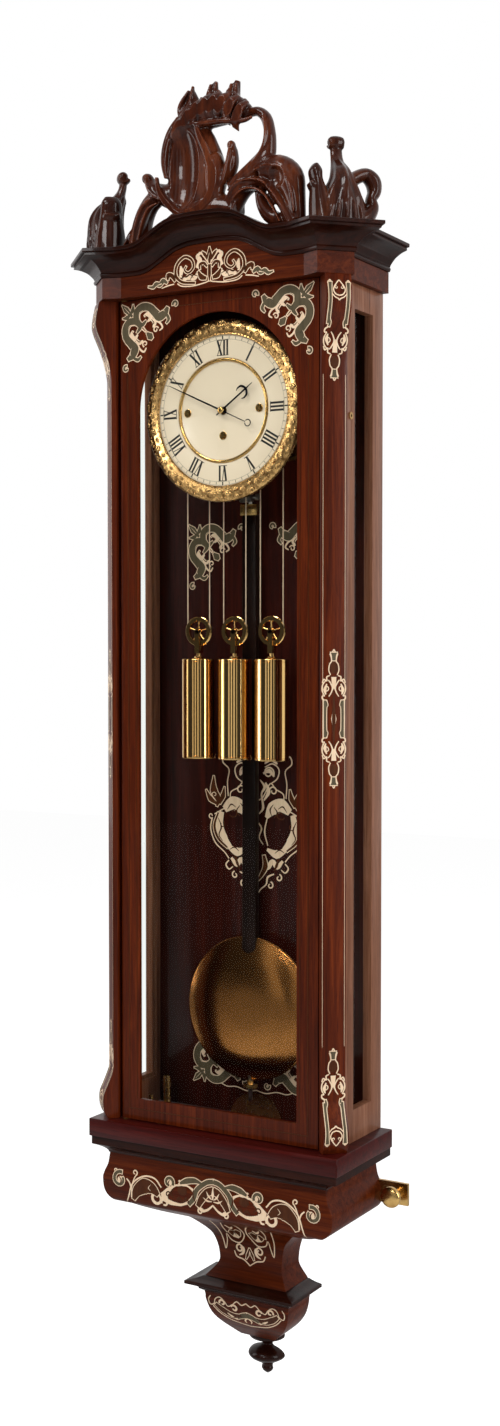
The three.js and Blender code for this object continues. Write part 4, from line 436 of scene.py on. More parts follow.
def wood(name, dark, middle, light, stretch, roughness=0.34, coat=0.16, hollow_shade=False):
    """Polished wood: grain drawn along the long way of the stretch, pores a little darker."""
    made, tree = new_material(name)
    figure = node(tree, "ShaderNodeGroup", node_tree=grain, Stretch=stretch).outputs
    ramp = node(tree, "ShaderNodeValToRGB", Fac=figure["Figure"])
    stops = ramp.color_ramp.elements
    stops[0].position = 0.12
    stops[0].color = dark
    stops[1].position = 0.88
    stops[1].color = light
    stops.new(0.5).color = middle
    colour = mixed(tree, figure["Pores"], ramp.outputs["Color"], (0.55, 0.5, 0.5, 1), "MULTIPLY")
    # Painted shade darkens the hollows of the carving, and a painted highlight lightens its ridges.
    if hollow_shade:
        carving = node(tree, "ShaderNodeGroup", node_tree=relief).outputs
        colour = mixed(tree, carving["Hollow"], colour, (0.28, 0.24, 0.24, 1), "MULTIPLY")
        ridge_highlight = (*(min(c * 1.9, 1) for c in light[:3]), 1)
        colour = mixed(tree, carving["Ridge"], colour, ridge_highlight)
    polish = ranged(tree, figure["Pores"], 0, 1, roughness, roughness + 0.16)
    bump = node(tree, "ShaderNodeBump", Height=figure["Height"], Strength=0.12, Distance=0.0002)
    surface = node(tree, "ShaderNodeBsdfPrincipled", Base_Color=colour, Roughness=polish,
        Normal=bump.outputs[0], Coat_Weight=coat, Coat_Roughness=0.07, Specular_IOR_Level=0.07)
    node(tree, "ShaderNodeOutputMaterial", Surface=surface.outputs[0])
    return made


veneer = wood("walnut veneer, upright grain", tone(48, 13, 2), tone(76, 25, 5), tone(104, 40, 10),
    stretch=(150, 150, 6))
veneer_across = wood("walnut veneer, level grain", tone(46, 13, 2), tone(72, 25, 6), tone(98, 40, 11),
    stretch=(6, 150, 150), coat=0.02)
dark_board = wood("back board veneer", tone(30, 7, 3), tone(44, 11, 5), tone(62, 18, 8),
    stretch=(110, 110, 5), roughness=0.36)
# Painted light: the sides are the same walnut as the front, made much lighter where the side faces catch the
# lamps.
lit_side_veneer = wood("side veneer painted light", tone(96, 58, 40), tone(124, 80, 58), tone(150, 104, 80),
    stretch=(150, 150, 5))

metal_marks, given, result = new_group("Metal marks",
    [("Scale", "NodeSocketFloat", 60.0), ("Stretch", "NodeSocketVector", (1, 1, 1))],
    [("Tarnish and painted reflection", "NodeSocketFloat"), ("Scratches", "NodeSocketFloat")])
drawn = drawn_out(metal_marks, given.outputs["Stretch"])
clouds = node(metal_marks, "ShaderNodeTexNoise", Vector=drawn, Scale=given.outputs["Scale"], Detail=5.0)
hairs = node(metal_marks, "ShaderNodeTexNoise", Vector=drawn, Scale=900.0, Detail=2.0)
feed(metal_marks, result.inputs["Tarnish and painted reflection"], ranged(metal_marks, clouds.outputs["Fac"], 0.42, 0.72))
feed(metal_marks, result.inputs["Scratches"], hairs.outputs["Fac"])


def metal(name, bright, tarnish_and_painted_reflection, roughness=0.2, scale=60.0, stretch=(1, 1, 1), scratch=0.05, shaded=0.0,
        dulling=0.14):
    """Metal with cloudy tarnish, fine scratches and, where asked, painted shade in its hollows; drawn out
    into streaks, the tarnish also stands for painted reflection bands.
    """
    made, tree = new_material(name)
    marks = node(tree, "ShaderNodeGroup", node_tree=metal_marks, Scale=scale, Stretch=stretch).outputs
    # The darker tone is tarnish; drawn out into upright streaks, as on the bob and the weights, it is painted
    # reflection of the room.
    colour = mixed(tree, marks["Tarnish and painted reflection"], bright, tarnish_and_painted_reflection)
    # Painted shade: the hollows of chased work darkened by the bend of the surface.
    if shaded:
        carving = node(tree, "ShaderNodeGroup", node_tree=relief, Reach=shaded).outputs
        colour = mixed(tree, carving["Hollow"], colour, (0.22, 0.15, 0.08, 1), "MULTIPLY")
    polish = ranged(tree, marks["Tarnish and painted reflection"], 0, 1, roughness, roughness + dulling)
    bump = node(tree, "ShaderNodeBump", Height=marks["Scratches"], Strength=scratch, Distance=0.0001)
    surface = node(tree, "ShaderNodeBsdfPrincipled", Base_Color=colour, Roughness=polish, Metallic=1.0,
        Normal=bump.outputs[0])
    node(tree, "ShaderNodeOutputMaterial", Surface=surface.outputs[0])
    return made


brass = metal("polished brass", tone(206, 168, 104), tone(158, 118, 66))

# Only what the camera looks at is refracted by a pane, so that the lamps light the clock behind it
# and its metal mirrors the room.
glass_tint = (0.97, 0.98, 0.97, 1)
old_glass, tree = new_material("old window glass")
streaks = node(tree, "ShaderNodeTexNoise", Vector=node(tree, "ShaderNodeTexCoord").outputs["Object"],
    Scale=9.0)
waver = node(tree, "ShaderNodeBump", Height=streaks.outputs["Fac"], Strength=0.015, Distance=0.001)
surface = node(tree, "ShaderNodeBsdfPrincipled", Base_Color=glass_tint, Roughness=0.02, Metallic=0.0,
    Transmission_Weight=1.0, IOR=1.12, Normal=waver.outputs[0])
clear = node(tree, "ShaderNodeBsdfTransparent", Color=glass_tint)
path = node(tree, "ShaderNodeLightPath").outputs
bounced = maths(tree, "MAXIMUM", path["Is Diffuse Ray"], path["Is Glossy Ray"])
passing = maths(tree, "MAXIMUM", path["Is Shadow Ray"], bounced)
pane = node(tree, "ShaderNodeMixShader")
for socket, value in zip(pane.inputs, (passing, surface.outputs[0], clear.outputs[0])):
    feed(tree, socket, value)
node(tree, "ShaderNodeOutputMaterial", Surface=pane.outputs[0])

piece("back_board_shown", eased_edges(copy_of("back_board"), 0.4), dark_board, "case",
    ["back_board"])
screw_places = [(x, z) for x in (-17, 17) for z in (853, 893)]


def screw_heads(profile):
    return [turned(profile, (x, 0, z), "Y", 24) for x, z in screw_places]


sunk_plate = cut_out(eased_edges(copy_of("hanging_plate"), 0.4), [
    screw_heads([(0, -0.9), (3.4, -0.9), (3.4, 0.5), (0, 0.5)])])
piece("hanging_plate_shown", sunk_plate, brass, "case", ["hanging_plate"])
for side in ("left", "right"):
    side_frame = eased_edges(copy_of(f"{side}_side"), 1.0, 3)
    piece(f"{side}_side_shown", side_frame, lit_side_veneer, "case", [f"{side}_side"])
    refinish(f"{side}_side_glass", old_glass)
plate_screws = solid(screw_heads([(0, -0.85), (3.3, -0.85), (3.1, -0.2), (0, -0.1)]))
piece("hanging_plate_screws", plate_screws, brass, "case")

# Marquetry of the back board: maple lines and leaves round grey-stained and dark wood, cut together
# as a packet, let into the veneer and polished level with it. Corner leaves stand under the dial
# and over the floor, and a shield between them.
def plain_inlay(name, low, high):
    made, tree = new_material(name)
    figure = node(tree, "ShaderNodeGroup", node_tree=grain, Stretch=(220, 220, 30)).outputs
    surface = node(tree, "ShaderNodeBsdfPrincipled", Base_Color=mixed(tree, figure["Figure"], low, high),
        Roughness=ranged(tree, figure["Pores"], 0, 1, 0.34, 0.5), Coat_Weight=0.08, Coat_Roughness=0.1,
        Specular_IOR_Level=0.07)
    node(tree, "ShaderNodeOutputMaterial", Surface=surface.outputs[0])
    return made


inlay_woods = [
    plain_inlay("maple inlay", tone(214, 184, 150), tone(238, 214, 184)),
    plain_inlay("grey stained inlay", tone(70, 62, 46), tone(98, 88, 68)),
    plain_inlay("dark inlay", tone(52, 24, 10), tone(84, 44, 20)),
]
line_margin = 0.9


def width_at(widths, t):
    place = t * (len(widths) - 1)
    i = min(int(place), len(widths) - 2)
    return widths[i] + (widths[i + 1] - widths[i]) * (place - i)


def strokes_of(kind, points, widths, smooth=6):
    """Strips of a stroke as (wood, level, points, half widths)."""
    run = eased(points, smooth) if len(points) > 2 else [tuple(map(float, p)) for p in points]
    if len(run) == 2:
        run = [tuple(run[0][k] + (run[1][k] - run[0][k]) * i / 6 for k in (0, 1)) for i in range(7)]
    halves = [width_at(widths, i / (len(run) - 1)) / 2 for i in range(len(run))]
    if kind == "line":
        return [(0, 1, run, halves)]
    if kind == "cream":
        return [(0, 2, run, halves)]
    if kind == "vein":
        return [(2, 4, run, halves)]
    if kind == "spark":
        return [(0, 4, run, halves)]
    wood_index = {"grey": 1, "dark": 2}[kind]
    edge = [h + line_margin for h in halves]
    return [(0, 1, longer(run, line_margin), edge), (wood_index, 3, run, halves)]


def longer(run, by):
    (ax, az), (bx, bz) = run[0], run[1]
    (cx, cz), (dx, dz) = run[-2], run[-1]
    first = math.hypot(bx - ax, bz - az) or 1
    last = math.hypot(dx - cx, dz - cz) or 1
    start = (ax - (bx - ax) / first * by, az - (bz - az) / first * by)
    finish = (dx + (dx - cx) / last * by, dz + (dz - cz) / last * by)
    return [start] + run[1:-1] + [finish]


def blob(kind, x, z, width, height):
    """A round or oval patch."""
    steps = 14
    points = [(x, z + height / 2 * -math.cos(math.pi * i / steps)) for i in range(steps + 1)]
    widths = [max(width * math.sin(math.pi * i / steps), 0.2) for i in range(steps + 1)]
    return (kind, points, widths, 1)


def curl(kind, x, z, radius, start, turns, width, shrink=0.3):
    """A volute that winds inwards from its outer end."""
    steps = max(int(abs(turns) * 16), 6)
    points = []
    for i in range(steps + 1):
        t = i / steps
        r = radius * (1 - (1 - shrink) * t)
        a = math.radians(start) + 2 * math.pi * turns * t
        points.append((x + r * math.cos(a), z + r * math.sin(a)))
    return (kind, points, [width, width, width * 0.7], 1)


def flipped(strokes, across=-1, up=1, dx=0, dz=0, swap=False):
    out = []
    for kind, points, widths, smooth in strokes:
        moved = [(z, x) if swap else (x, z) for x, z in points]
        out.append((kind, [(x * across + dx, z * up + dz) for x, z in moved], widths, smooth))
    return out


layer_height, hair_height, sunk_depth, least_half = 0.06, 0.0006, 0.15, 0.12


def inlaid(name, strokes, place, woods, body):
    """Strokes laid on a face as thin closed strips; place gives a point of the face and its way out."""
    places = []
    faces = []
    woods_of = []
    for kind, points, widths, smooth in strokes:
        for wood_index, level, run, halves in strokes_of(kind, points, widths, smooth):
            high = layer_height * level + hair_height * (len(woods_of) % 89)
            start = len(places)
            for i, (x, z) in enumerate(run):
                ax, az = run[max(i - 1, 0)]
                bx, bz = run[min(i + 1, len(run) - 1)]
                length = math.hypot(bx - ax, bz - az) or 1
                nx, nz = -(bz - az) / length, (bx - ax) / length
                h = max(halves[i], least_half)
                left = (x - nx * h, z - nz * h)
                right = (x + nx * h, z + nz * h)
                for edge, lift in ((left, high), (right, high), (right, -sunk_depth), (left, -sunk_depth)):
                    foot, out = place(*edge)
                    places.append(at(*(f + o * lift for f, o in zip(foot, out))))
            count = len(run)
            for i in range(count - 1):
                a = start + 4 * i
                for k in range(4):
                    faces.append([a + k, a + (k + 1) % 4, a + 4 + (k + 1) % 4, a + 4 + k])
                    woods_of.append(wood_index)
            faces.append([start + 3, start + 2, start + 1, start])
            faces.append([start + 4 * (count - 1) + k for k in range(4)])
            woods_of.extend([wood_index, wood_index])
    mesh = bpy.data.meshes.new(name)
    mesh.from_pydata(places, [], faces)
    for wood_piece in woods:
        mesh.materials.append(wood_piece)
    mesh.polygons.foreach_set("material_index", woods_of)
    face_outwards(mesh)
    return piece(name, mesh, woods, body, smooth_angle=20)


def corner_leaves():
    """Corner ornament inside the square from its outer corner (0, 0) to (76, 76), for the upper left."""
    half = [
        ("grey", [(33, -21), (27, -25), (21, -20), (21, -11), (28, -6), (37, -7), (44, -13), (50, -18),
            (57, -15), (61, -9)], [2, 5, 7.5, 8.5, 8.5, 8, 8.5, 10, 8, 3.5], 5),
        curl("grey", 70.5, -6.5, 3.2, 200, -0.8, 2.2, 0.5),
        ("grey", [(60, -17), (62, -22), (59, -26)], [3, 3.6, 1.6], 4),
        ("grey", [(12, -13), (15.5, -8), (16, -2)], [1.5, 5, 0.6], 4),
        ("cream", [(30, -16), (35, -14), (39, -18), (35, -22)], [2.5, 5, 5, 2], 4),
        ("cream", [(39, -19), (44, -24), (42, -29)], [3, 5, 2], 4),
        ("line", [(45, -22), (51, -25), (54, -30), (50, -33)], [1.6, 2.2, 2, 1.4], 5),
        curl("line", 45.5, -31.5, 3.6, 20, 1.05, 1.5, 0.3),
        ("vein", [(31, -15), (35, -18), (33, -21)], [0.5, 1.3, 0.4], 4),
        ("vein", [(40, -20), (43, -24), (41, -26)], [0.5, 1.2, 0.4], 4),
        ("spark", [(24, -19), (24.5, -12), (29, -9.5)], [0.3, 0.7, 0.3], 5),
        ("spark", [(49, -14), (54, -12), (57, -13)], [0.3, 0.7, 0.3], 5),
        ("line", [(20, -22), (24, -25.5), (27, -29)], [1.2, 1.4, 1], 4),
    ]
    centre = [
        ("grey", [(15, -15), (7, -7), (1.5, -1.5)], [2.5, 6.5, 0.6], 5),
        ("cream", [(27, -27), (33, -33)], [4.5, 3], 3),
        ("grey", [(34, -34), (38, -38), (41, -41)], [2, 8, 3], 5),
        ("vein", [(28, -28), (32, -32)], [1.2, 0.6], 3),
        ("spark", [(11, -11), (4, -4)], [0.7, 0.3], 3),
    ]
    return half + flipped(half, -1, -1, swap=True) + centre


def on_back_board(x, z):
    return (x, -12, z), (0, -1, 0)


shield = [
    ("line", [(0, 352), (-8, 357), (-17, 372), (-24, 366), (-34, 360), (-34, 346), (-44, 341), (-55, 335)],
        [1.3, 1.3], 5),
    ("line", [(-58, 331), (-60, 318), (-54, 303), (-42, 293), (-36, 286)], [1.6, 1.3], 5),
    curl("line", -59.5, 333, 3.2, -60, -0.9, 1.3, 0.4),
    ("dark", [(-50, 337), (-55, 322), (-50, 308), (-38, 298)], [2, 3, 3, 2], 5),
    ("cream", [(-45, 338), (-49, 323), (-44, 308), (-34, 299)], [5, 11, 13, 5], 5),
    ("cream", [(-42, 341), (-31, 348), (-20, 344), (-12, 334)], [8, 16, 15, 4], 5),
    ("cream", [(-36, 299), (-25, 294), (-13, 299)], [5, 10, 3], 5),
    ("line", [(-13, 333), (-10, 318), (-14, 303)], [1.2, 1.8, 1.2], 5),
    ("vein", [(-50, 331), (-46, 321), (-49, 312), (-44, 305)], [0.6, 2, 1.4, 0.5], 5),
    ("vein", [(-38, 341), (-33, 347), (-27, 344)], [0.6, 1.8, 0.5], 5),
    ("vein", [(-21, 349), (-17, 343), (-19, 336)], [0.6, 2, 0.5], 5),
    ("vein", [(-35, 296), (-29, 299), (-23, 295)], [0.5, 1.6, 0.5], 5),
    ("line", [(-37, 356), (-38, 372), (-36, 386), (-44, 394), (-42, 402), (-34, 402)],
        [1.2, 1.4, 1.2, 1.6, 1.6, 1], 5),
    curl("line", -15, 384, 7, 200, -1.1, 1.8, 0.4),
    curl("line", -21, 364, 5, 20, 1, 1.6, 0.4),
    ("cream", [(-11, 373), (-15, 363), (-9, 353)], [2, 5, 1.5], 5),
    ("cream", [(-26, 394), (-18, 399), (-10, 394)], [2, 5, 1.5], 5),
    curl("vein", -30, 338, 6, -150, 0.9, 1.4, 0.3),
    curl("vein", -45, 324, 4, 60, -0.8, 1.2, 0.3),
    ("vein", [(-22, 346), (-26, 340), (-22, 334)], [0.8, 1.8, 0.6], 4),
    ("line", [(-36, 284), (-40, 279), (-36, 274), (-31, 277)], [1.4, 1.8, 1.2], 5),
    ("cream", [(-33, 287), (-26, 280), (-20, 286), (-14, 279), (-8, 285)], [3, 6, 5, 6, 3], 5),
    ("vein", [(-28, 289), (-25, 281), (-22, 275)], [2.6, 3.4, 0.8], 4),
    curl("line", -28, 268, 4.2, 100, 0.95, 1.6, 0.3),
    curl("line", -17, 259, 4.2, 100, 0.95, 1.6, 0.3),
    ("line", [(-22, 272), (-14, 268), (-12, 260), (-5, 254), (0, 247)], [1.4, 2.4, 1.6, 1.4, 1], 5),
    ("dark", [(-9, 292), (-11, 280), (-6, 270), (0, 262)], [3, 6, 4, 1], 5),
    ("dark", [(-52, 344), (-50, 352), (-56, 362), (-56, 378)], [2, 7, 9, 1], 5),
    ("dark", [(-50, 346), (-60, 352), (-66, 362)], [2, 6, 1], 5),
    ("dark", [(-48, 347), (-44, 356), (-42, 366)], [2, 6, 1], 5),
    curl("spark", -55, 357, 3.4, 200, -0.9, 0.9, 0.3),
    ("line", [(-18, 372), (-26, 378), (-28, 388), (-20, 394), (-10, 390)], [1.2, 1.6, 1.4, 1.6, 1], 5),
    ("cream", [(-22, 380), (-16, 386), (-8, 383)], [2, 5, 2], 5),
    ("cream", [(-3, 338), (-8, 345), (-6, 360), (-10, 368), (-4, 376)], [1, 3, 2, 3.4, 1], 5),
    ("line", [(0, 330), (-6, 322), (-3, 312), (-8, 304)], [1.2, 2, 1.4, 1], 5),
]
shield = shield + flipped(shield)
low_edge = [
    ("line", [(-47, -69), (-38, -72), (-26, -71), (-12, -74), (0, -72)], [1.1, 1.1], 5),
    ("line", [(-47, -66), (-50, -62), (-47, -59)], [1.2, 1.2], 4),
]
board_motifs = (flipped(corner_leaves(), 1, 1, -90, 662) + flipped(corner_leaves(), -1, 1, 90, 662)
    + shield
    + flipped(corner_leaves(), 1, -1, -84, 28) + flipped(corner_leaves(), -1, -1, 84, 28)
    + flipped(low_edge + flipped(low_edge), 1, 1, 0, 100))
inlaid("back_board_marquetry", board_motifs, on_back_board, inlay_woods, "case")

# Pilasters: square posts standing cornerwise at the front of the case, veneered, with a swelling
# console at head and foot and a strap of marquetry at the head, the middle and the foot.
pilaster_swelling = eased([(0.35, 0), (0.53, 0.0055), (0.65, 0.013), (0.68, 0.022), (0.62, 0.03),
    (0.44, 0.038), (0.24, 0.047), (0.03, 0.058), (0, 0.066)], 6)
pilaster_swelling += [(0, 0.2), (0, 0.4), (0, 0.6), (0, 0.8)]
pilaster_swelling += eased([(0, 0.9), (0.02, 0.909), (0.18, 0.926), (0.53, 0.946), (0.92, 0.964), (1, 0.976),
    (0.82, 0.996), (0.74, 1)], 6)


def pilaster_bulge(z):
    share = min(max((z - 0.3) / 899.4, 0), 1)
    return 17 * float(np.interp(share, [s for _, s in pilaster_swelling], [b for b, _ in pilaster_swelling]))


cornerwise = math.sqrt(0.5)


def pilaster_ring(hand, z):
    b = pilaster_bulge(z) * cornerwise
    ring = [(126.2, -90.8), (126.2, -113.9), (129.7, -117.4), (130.2, -117.5), (130.9, -117),
        (148.6, -99.3), (149.1, -98.7), (148.9, -98.2), (141.5, -90.8)]
    moved = [(x + b, y - b) if 2 <= k <= 7 else (x, y) for k, (x, y) in enumerate(ring)]
    return [(hand * x, y, z) for x, y in moved]


def strap_end(gap):
    """Half of a strap: from the end of its bands, over two volutes and an urn, to the tip; down is minus."""
    half = [
        ("grey", [(-9.4, gap), (-9.3, 3), (-7.8, -1), (-8.4, -5)], [2.6, 2.6, 2.2, 1.6], 4),
        ("line", [(-8.4, -5), (-12, -7.5), (-12.2, -10.5), (-9.8, -10.5)], [1.4, 1.6, 1.5, 1], 5),
        ("line", [(-9.8, -10.5), (-12.4, -16), (-12, -22), (-9, -26)], [1.1, 1.4, 1.4, 1.1], 5),
        ("line", [(-12.3, -24), (-10.8, -27.6), (-7.5, -26), (-7.6, -30), (-4.4, -31.5)], [1.3, 1.5, 1.2], 5),
        ("cream", [(-8.6, -12), (-9.6, -17), (-7.6, -23)], [1, 3.6, 1.2], 5),
        ("line", [(-5.4, -10), (-2.8, -14), (-1.4, -19), (-3.6, -24), (-6, -27)], [1, 1.6, 1.2], 5),
        curl("line", -8, -18.5, 3, 100, -0.8, 1.1, 0.4),
        ("line", [(-3.6, -32), (-5.4, -37), (-4.6, -43), (-2.6, -46), (-2.9, -50), (-4.3, -54)], [1.2, 1.2],
            5),
    ]
    middle = [
        ("cream", [(0, -17), (0, -24), (0, -30)], [0.5, 4.4, 5.6], 4),
        blob("vein", 0, -39.5, 7.6, 12),
        ("grey", [(0, -47), (0, -52), (0, -55)], [3.6, 4.4, 7], 4),
        ("line", [(-4, -54.5), (-1.8, -55), (0, -58), (1.8, -55), (4, -54.5)], [0.9, 1.3, 0.9], 4),
    ]
    return half + flipped(half) + middle


def strap_head(bottom):
    """The other half of a strap that starts with a heart, its long bands reaching down to bottom."""
    half = [
        ("grey", [(-9.6, 0), (-9.6, -8), (-9.4, -20), (-9.4, bottom)], [3.6, 2.6, 2.6, 2.6], 5),
        ("line", [(-12.4, -1), (-9.6, 2.2), (-7.4, -1.4)], [1.1, 1.4, 1.1], 4),
        ("line", [(0, 2.6), (-2.6, -0.6), (-5, -4), (-6.2, -8), (-4, -12), (0, -13.4)], [1.1, 1.3], 5),
        ("line", [(-7.6, -12), (-4.6, -15), (-1.6, -16.4), (0, -18)], [1, 1.3], 5),
        curl("line", -3, -5, 1.8, 90, 0.9, 1, 0.4),
    ]
    return half + flipped(half)


straps = (flipped(strap_head(-40), 1, 1, 0, 890) + flipped(strap_end(12), 1, 1, 0, 852)
    + flipped(strap_end(32), 1, 1, 0, 436) + flipped(strap_end(32), 1, -1, 0, 462)
    + flipped(strap_head(-40), 1, -1, 0, 12) + flipped(strap_end(12), 1, -1, 0, 50)
    + [("vein", [(0, 480), (0, 449), (0, 418)], [0.4, 4, 0.4], 6), ("grey", [(0, 456), (0, 449), (0, 442)],
    [1, 4, 1], 4)])
edge_lines = [("line", [(x, 800), (x, 460), (x, 110)], [0.35, 0.35], 10) for x in (-11.9, 11.9)]
for side, hand in (("left", -1), ("right", 1)):
    def on_pilaster(u, v, hand=hand):
        b = pilaster_bulge(v) * cornerwise
        slope = pilaster_bulge(v + 0.5) - pilaster_bulge(v - 0.5)
        middle = 139.7 + u * cornerwise + b
        out = Vector((hand * cornerwise, -cornerwise, -slope)).normalized()
        return (hand * middle, -108.2 + u * cornerwise - b, v), tuple(out)

    levels = sorted({0.3 + 899.4 * s for _, s in pilaster_swelling} | set(range(40, 880, 40)))
    mesh = solid([loft([pilaster_ring(hand, z) for z in levels])])
    piece(f"{side}_pilaster_shown", mesh, veneer, "case", [f"{side}_pilaster"], 28)
    inlaid(f"{side}_pilaster_marquetry", straps + edge_lines, on_pilaster, inlay_woods, "case")

# Plinth: a thick slab with a moulding run under its edge, red-brown and polished, screwed
# through the case floor.
plinth_wood = wood("plinth veneer", tone(44, 8, 6), tone(60, 12, 9), tone(80, 20, 14),
    stretch=(5, 120, 120), roughness=0.3)
black_wood = wood("ebonised wood", tone(20, 6, 2), tone(34, 11, 5), tone(50, 19, 9),
    stretch=(6, 90, 90), roughness=0.28, coat=0.12)
corner_radius, corner_steps = 1.2, 3


def level_ring(half_width, depth, z):
    """A rectangle against the wall whose two front corners are rounded."""
    points = [(-half_width, 0, z)]
    for cx, start in ((-half_width + corner_radius, math.pi), (half_width - corner_radius, 1.5 * math.pi)):
        for i in range(corner_steps + 1):
            a = start + math.pi / 2 * i / corner_steps
            y = -depth + corner_radius + corner_radius * math.sin(a)
            points.append((cx + corner_radius * math.cos(a), y, z))
    points.append((half_width, 0, z))
    return points


def levels_down(rows):
    return solid([loft([level_ring(w, d, z) for w, d, z in rows])])


slab_foot = -19.4
slab = [(154.4, 128.9, 0), (155, 129.5, -0.3), (155.2, 129.7, -0.9), (155.2, 129.7, -18.8),
    (154.9, 129.4, slab_foot)]
under = [(153.2, 127.8, -19.5), (153.2, 127.8, -28.6)]
cove = eased([(152.4, 127.2, -29), (147, 124, -30.6), (141.5, 120.6, -33), (138, 118.4, -35.8),
    (136.8, 117.8, -38)], 5)
plinth_mesh = levels_down(slab + under + cove)
piece("plinth_shown", plinth_mesh, [plinth_wood, black_wood], "case", ["plinth"], 30)
for polygon in plinth_mesh.polygons:
    if polygon.center.z < slab_foot * mm + case_drop:
        polygon.material_index = 1

# Shaped base: a swelling body of softwood, veneered, that narrows in an ogee to a neck, with marquetry of
# mounds, flowers and a shield wrapped round its front.
base_rows = [(135.6, 117.5, -38.3), (138, 118, -50.9), (142.2, 118.8, -59.9), (144.4, 119, -68),
    (142, 118.5, -82), (132.6, 117, -90.6), (122, 108, -94.1), (105, 93.1, -102), (86.1, 77.9, -109),
    (70, 65, -113.5), (59.1, 55, -121.9), (47.9, 46.1, -133), (43, 42, -144.1), (40.4, 40, -157),
    (41, 41.1, -168.1), (51.6, 52, -182)]
base_run = eased(base_rows, 6)


def lengths_down(run):
    """Length along the front of a moulded body down to each of its levels."""
    lengths = [0.0]
    for (_, d0, z0), (_, d1, z1) in zip(run, run[1:]):
        lengths.append(lengths[-1] + math.hypot(d1 - d0, z1 - z0))
    return lengths


def down_front(run, lengths, s):
    """Depth and height at a length along the front of a moulded body."""
    return [float(np.interp(s, lengths, [level[k] for level in run])) for k in (1, 2)]


base_lengths = lengths_down(base_run)


def on_base(x, s):
    depth, z = down_front(base_run, base_lengths, -s)
    d1, z1 = down_front(base_run, base_lengths, -s + 1)
    d0, z0 = down_front(base_run, base_lengths, -s - 1)
    out = Vector((0, z1 - z0, -(d0 - d1)))
    out.normalize()
    return (x, -depth, z), (0, -abs(out.y), out.z if out.y < 0 else -out.z)


def along_base(strokes):
    """Strokes drawn in X and height, laid along the curve of the front."""
    heights = [-z for _, _, z in base_run]
    laid = []
    for kind, points, widths, smooth in strokes:
        run = [(x, -float(np.interp(-z, heights, base_lengths))) for x, z in points]
        laid.append((kind, run, widths, smooth))
    return laid


piece("shaped_base_shown", levels_down(base_run), veneer_across, "case", ["bombe_base"], 24)
base_half = [
    ("grey", [(-31, -80), (-24, -72), (-20, -62), (-9, -53), (0, -50.5)], [5, 5, 5, 5, 5], 6),
    ("dark", [(-19, -80), (-14, -71), (-7, -63), (0, -60)], [5, 8, 8, 8], 5),
    ("spark", [(0, -57), (0, -64), (0, -70)], [0.6, 3.2, 1], 5),
    ("spark", [(-1, -70), (-5, -67), (-8, -62)], [0.6, 2.4, 0.4], 5),
    ("spark", [(-1, -72), (-7, -72), (-12, -69)], [0.6, 2, 0.4], 5),
    ("cream", [(0, -76), (-7, -82), (-14, -84), (-20, -80)], [1.6, 2.4, 3.4, 1.4], 5),
    curl("line", -16, -85, 4, 30, 0.9, 1.8, 0.4),
    ("cream", [(-20, -68), (-32, -69), (-44, -72), (-56, -75), (-66, -77)], [8, 21, 24, 19, 8], 6),
    curl("cream", -72, -80, 6.4, 60, 1, 3.4, 0.8),
    curl("cream", -62, -83, 4.4, 200, -0.9, 2.6, 0.6),
    ("grey", [(-15, -54.5), (-24, -53), (-34, -55), (-42, -58.5)], [2, 5.5, 6, 2.5], 5),
    curl("line", -43, -57, 2.4, 240, 0.8, 1.2, 0.4),
    blob("vein", -39, -66, 12, 10),
    ("vein", [(-30, -78), (-34, -74), (-38, -78), (-43, -75), (-47, -79)], [1, 3, 2, 3, 1], 5),
    ("vein", [(-24, -62), (-25, -69), (-22, -76)], [0.6, 2, 0.6], 5),
    ("vein", [(-50, -66), (-54, -71), (-50, -76)], [0.5, 2, 0.5], 5),
    curl("vein", -57, -73, 3.4, 30, 0.9, 1.4, 0.4),
    curl("grey", -56, -59.5, 5.6, -30, 0.86, 3.2, 0.55),
    blob("cream", -56, -60, 6, 7),
    ("vein", [(-56, -64), (-57, -60), (-55, -57)], [0.5, 1.4, 0.4], 4),
    ("dark", [(-70, -76), (-78, -70), (-88, -69), (-98, -76), (-103, -86)], [5, 12, 17, 12, 4], 6),
    ("line", [(-66, -67), (-74, -59), (-86, -57.5), (-97, -62), (-105, -70), (-109, -82), (-113, -92)],
        [1.6, 1.8, 1.8, 1.6, 1.2], 6),
    ("spark", [(-80, -66), (-83, -70), (-80, -73)], [0.3, 0.9, 0.3], 4),
    ("line", [(-106, -84), (-105, -72), (-102, -63), (-99, -58)], [1, 1.2, 1.4, 1.2], 5),
    curl("line", -101, -56, 3.3, -60, 0.95, 1.5, 0.4),
    curl("grey", -121, -66, 8.6, 70, 0.9, 3.6, 0.5),
    blob("cream", -120, -67, 8, 9),
    ("vein", [(-121, -72), (-119, -67), (-122, -63)], [0.5, 1.6, 0.4], 4),
    ("line", [(-112, -64), (-108, -68), (-106, -74)], [1.4, 1.8, 1.2], 4),
    curl("line", -127, -57, 2.6, -100, 0.9, 1.4, 0.4),
]
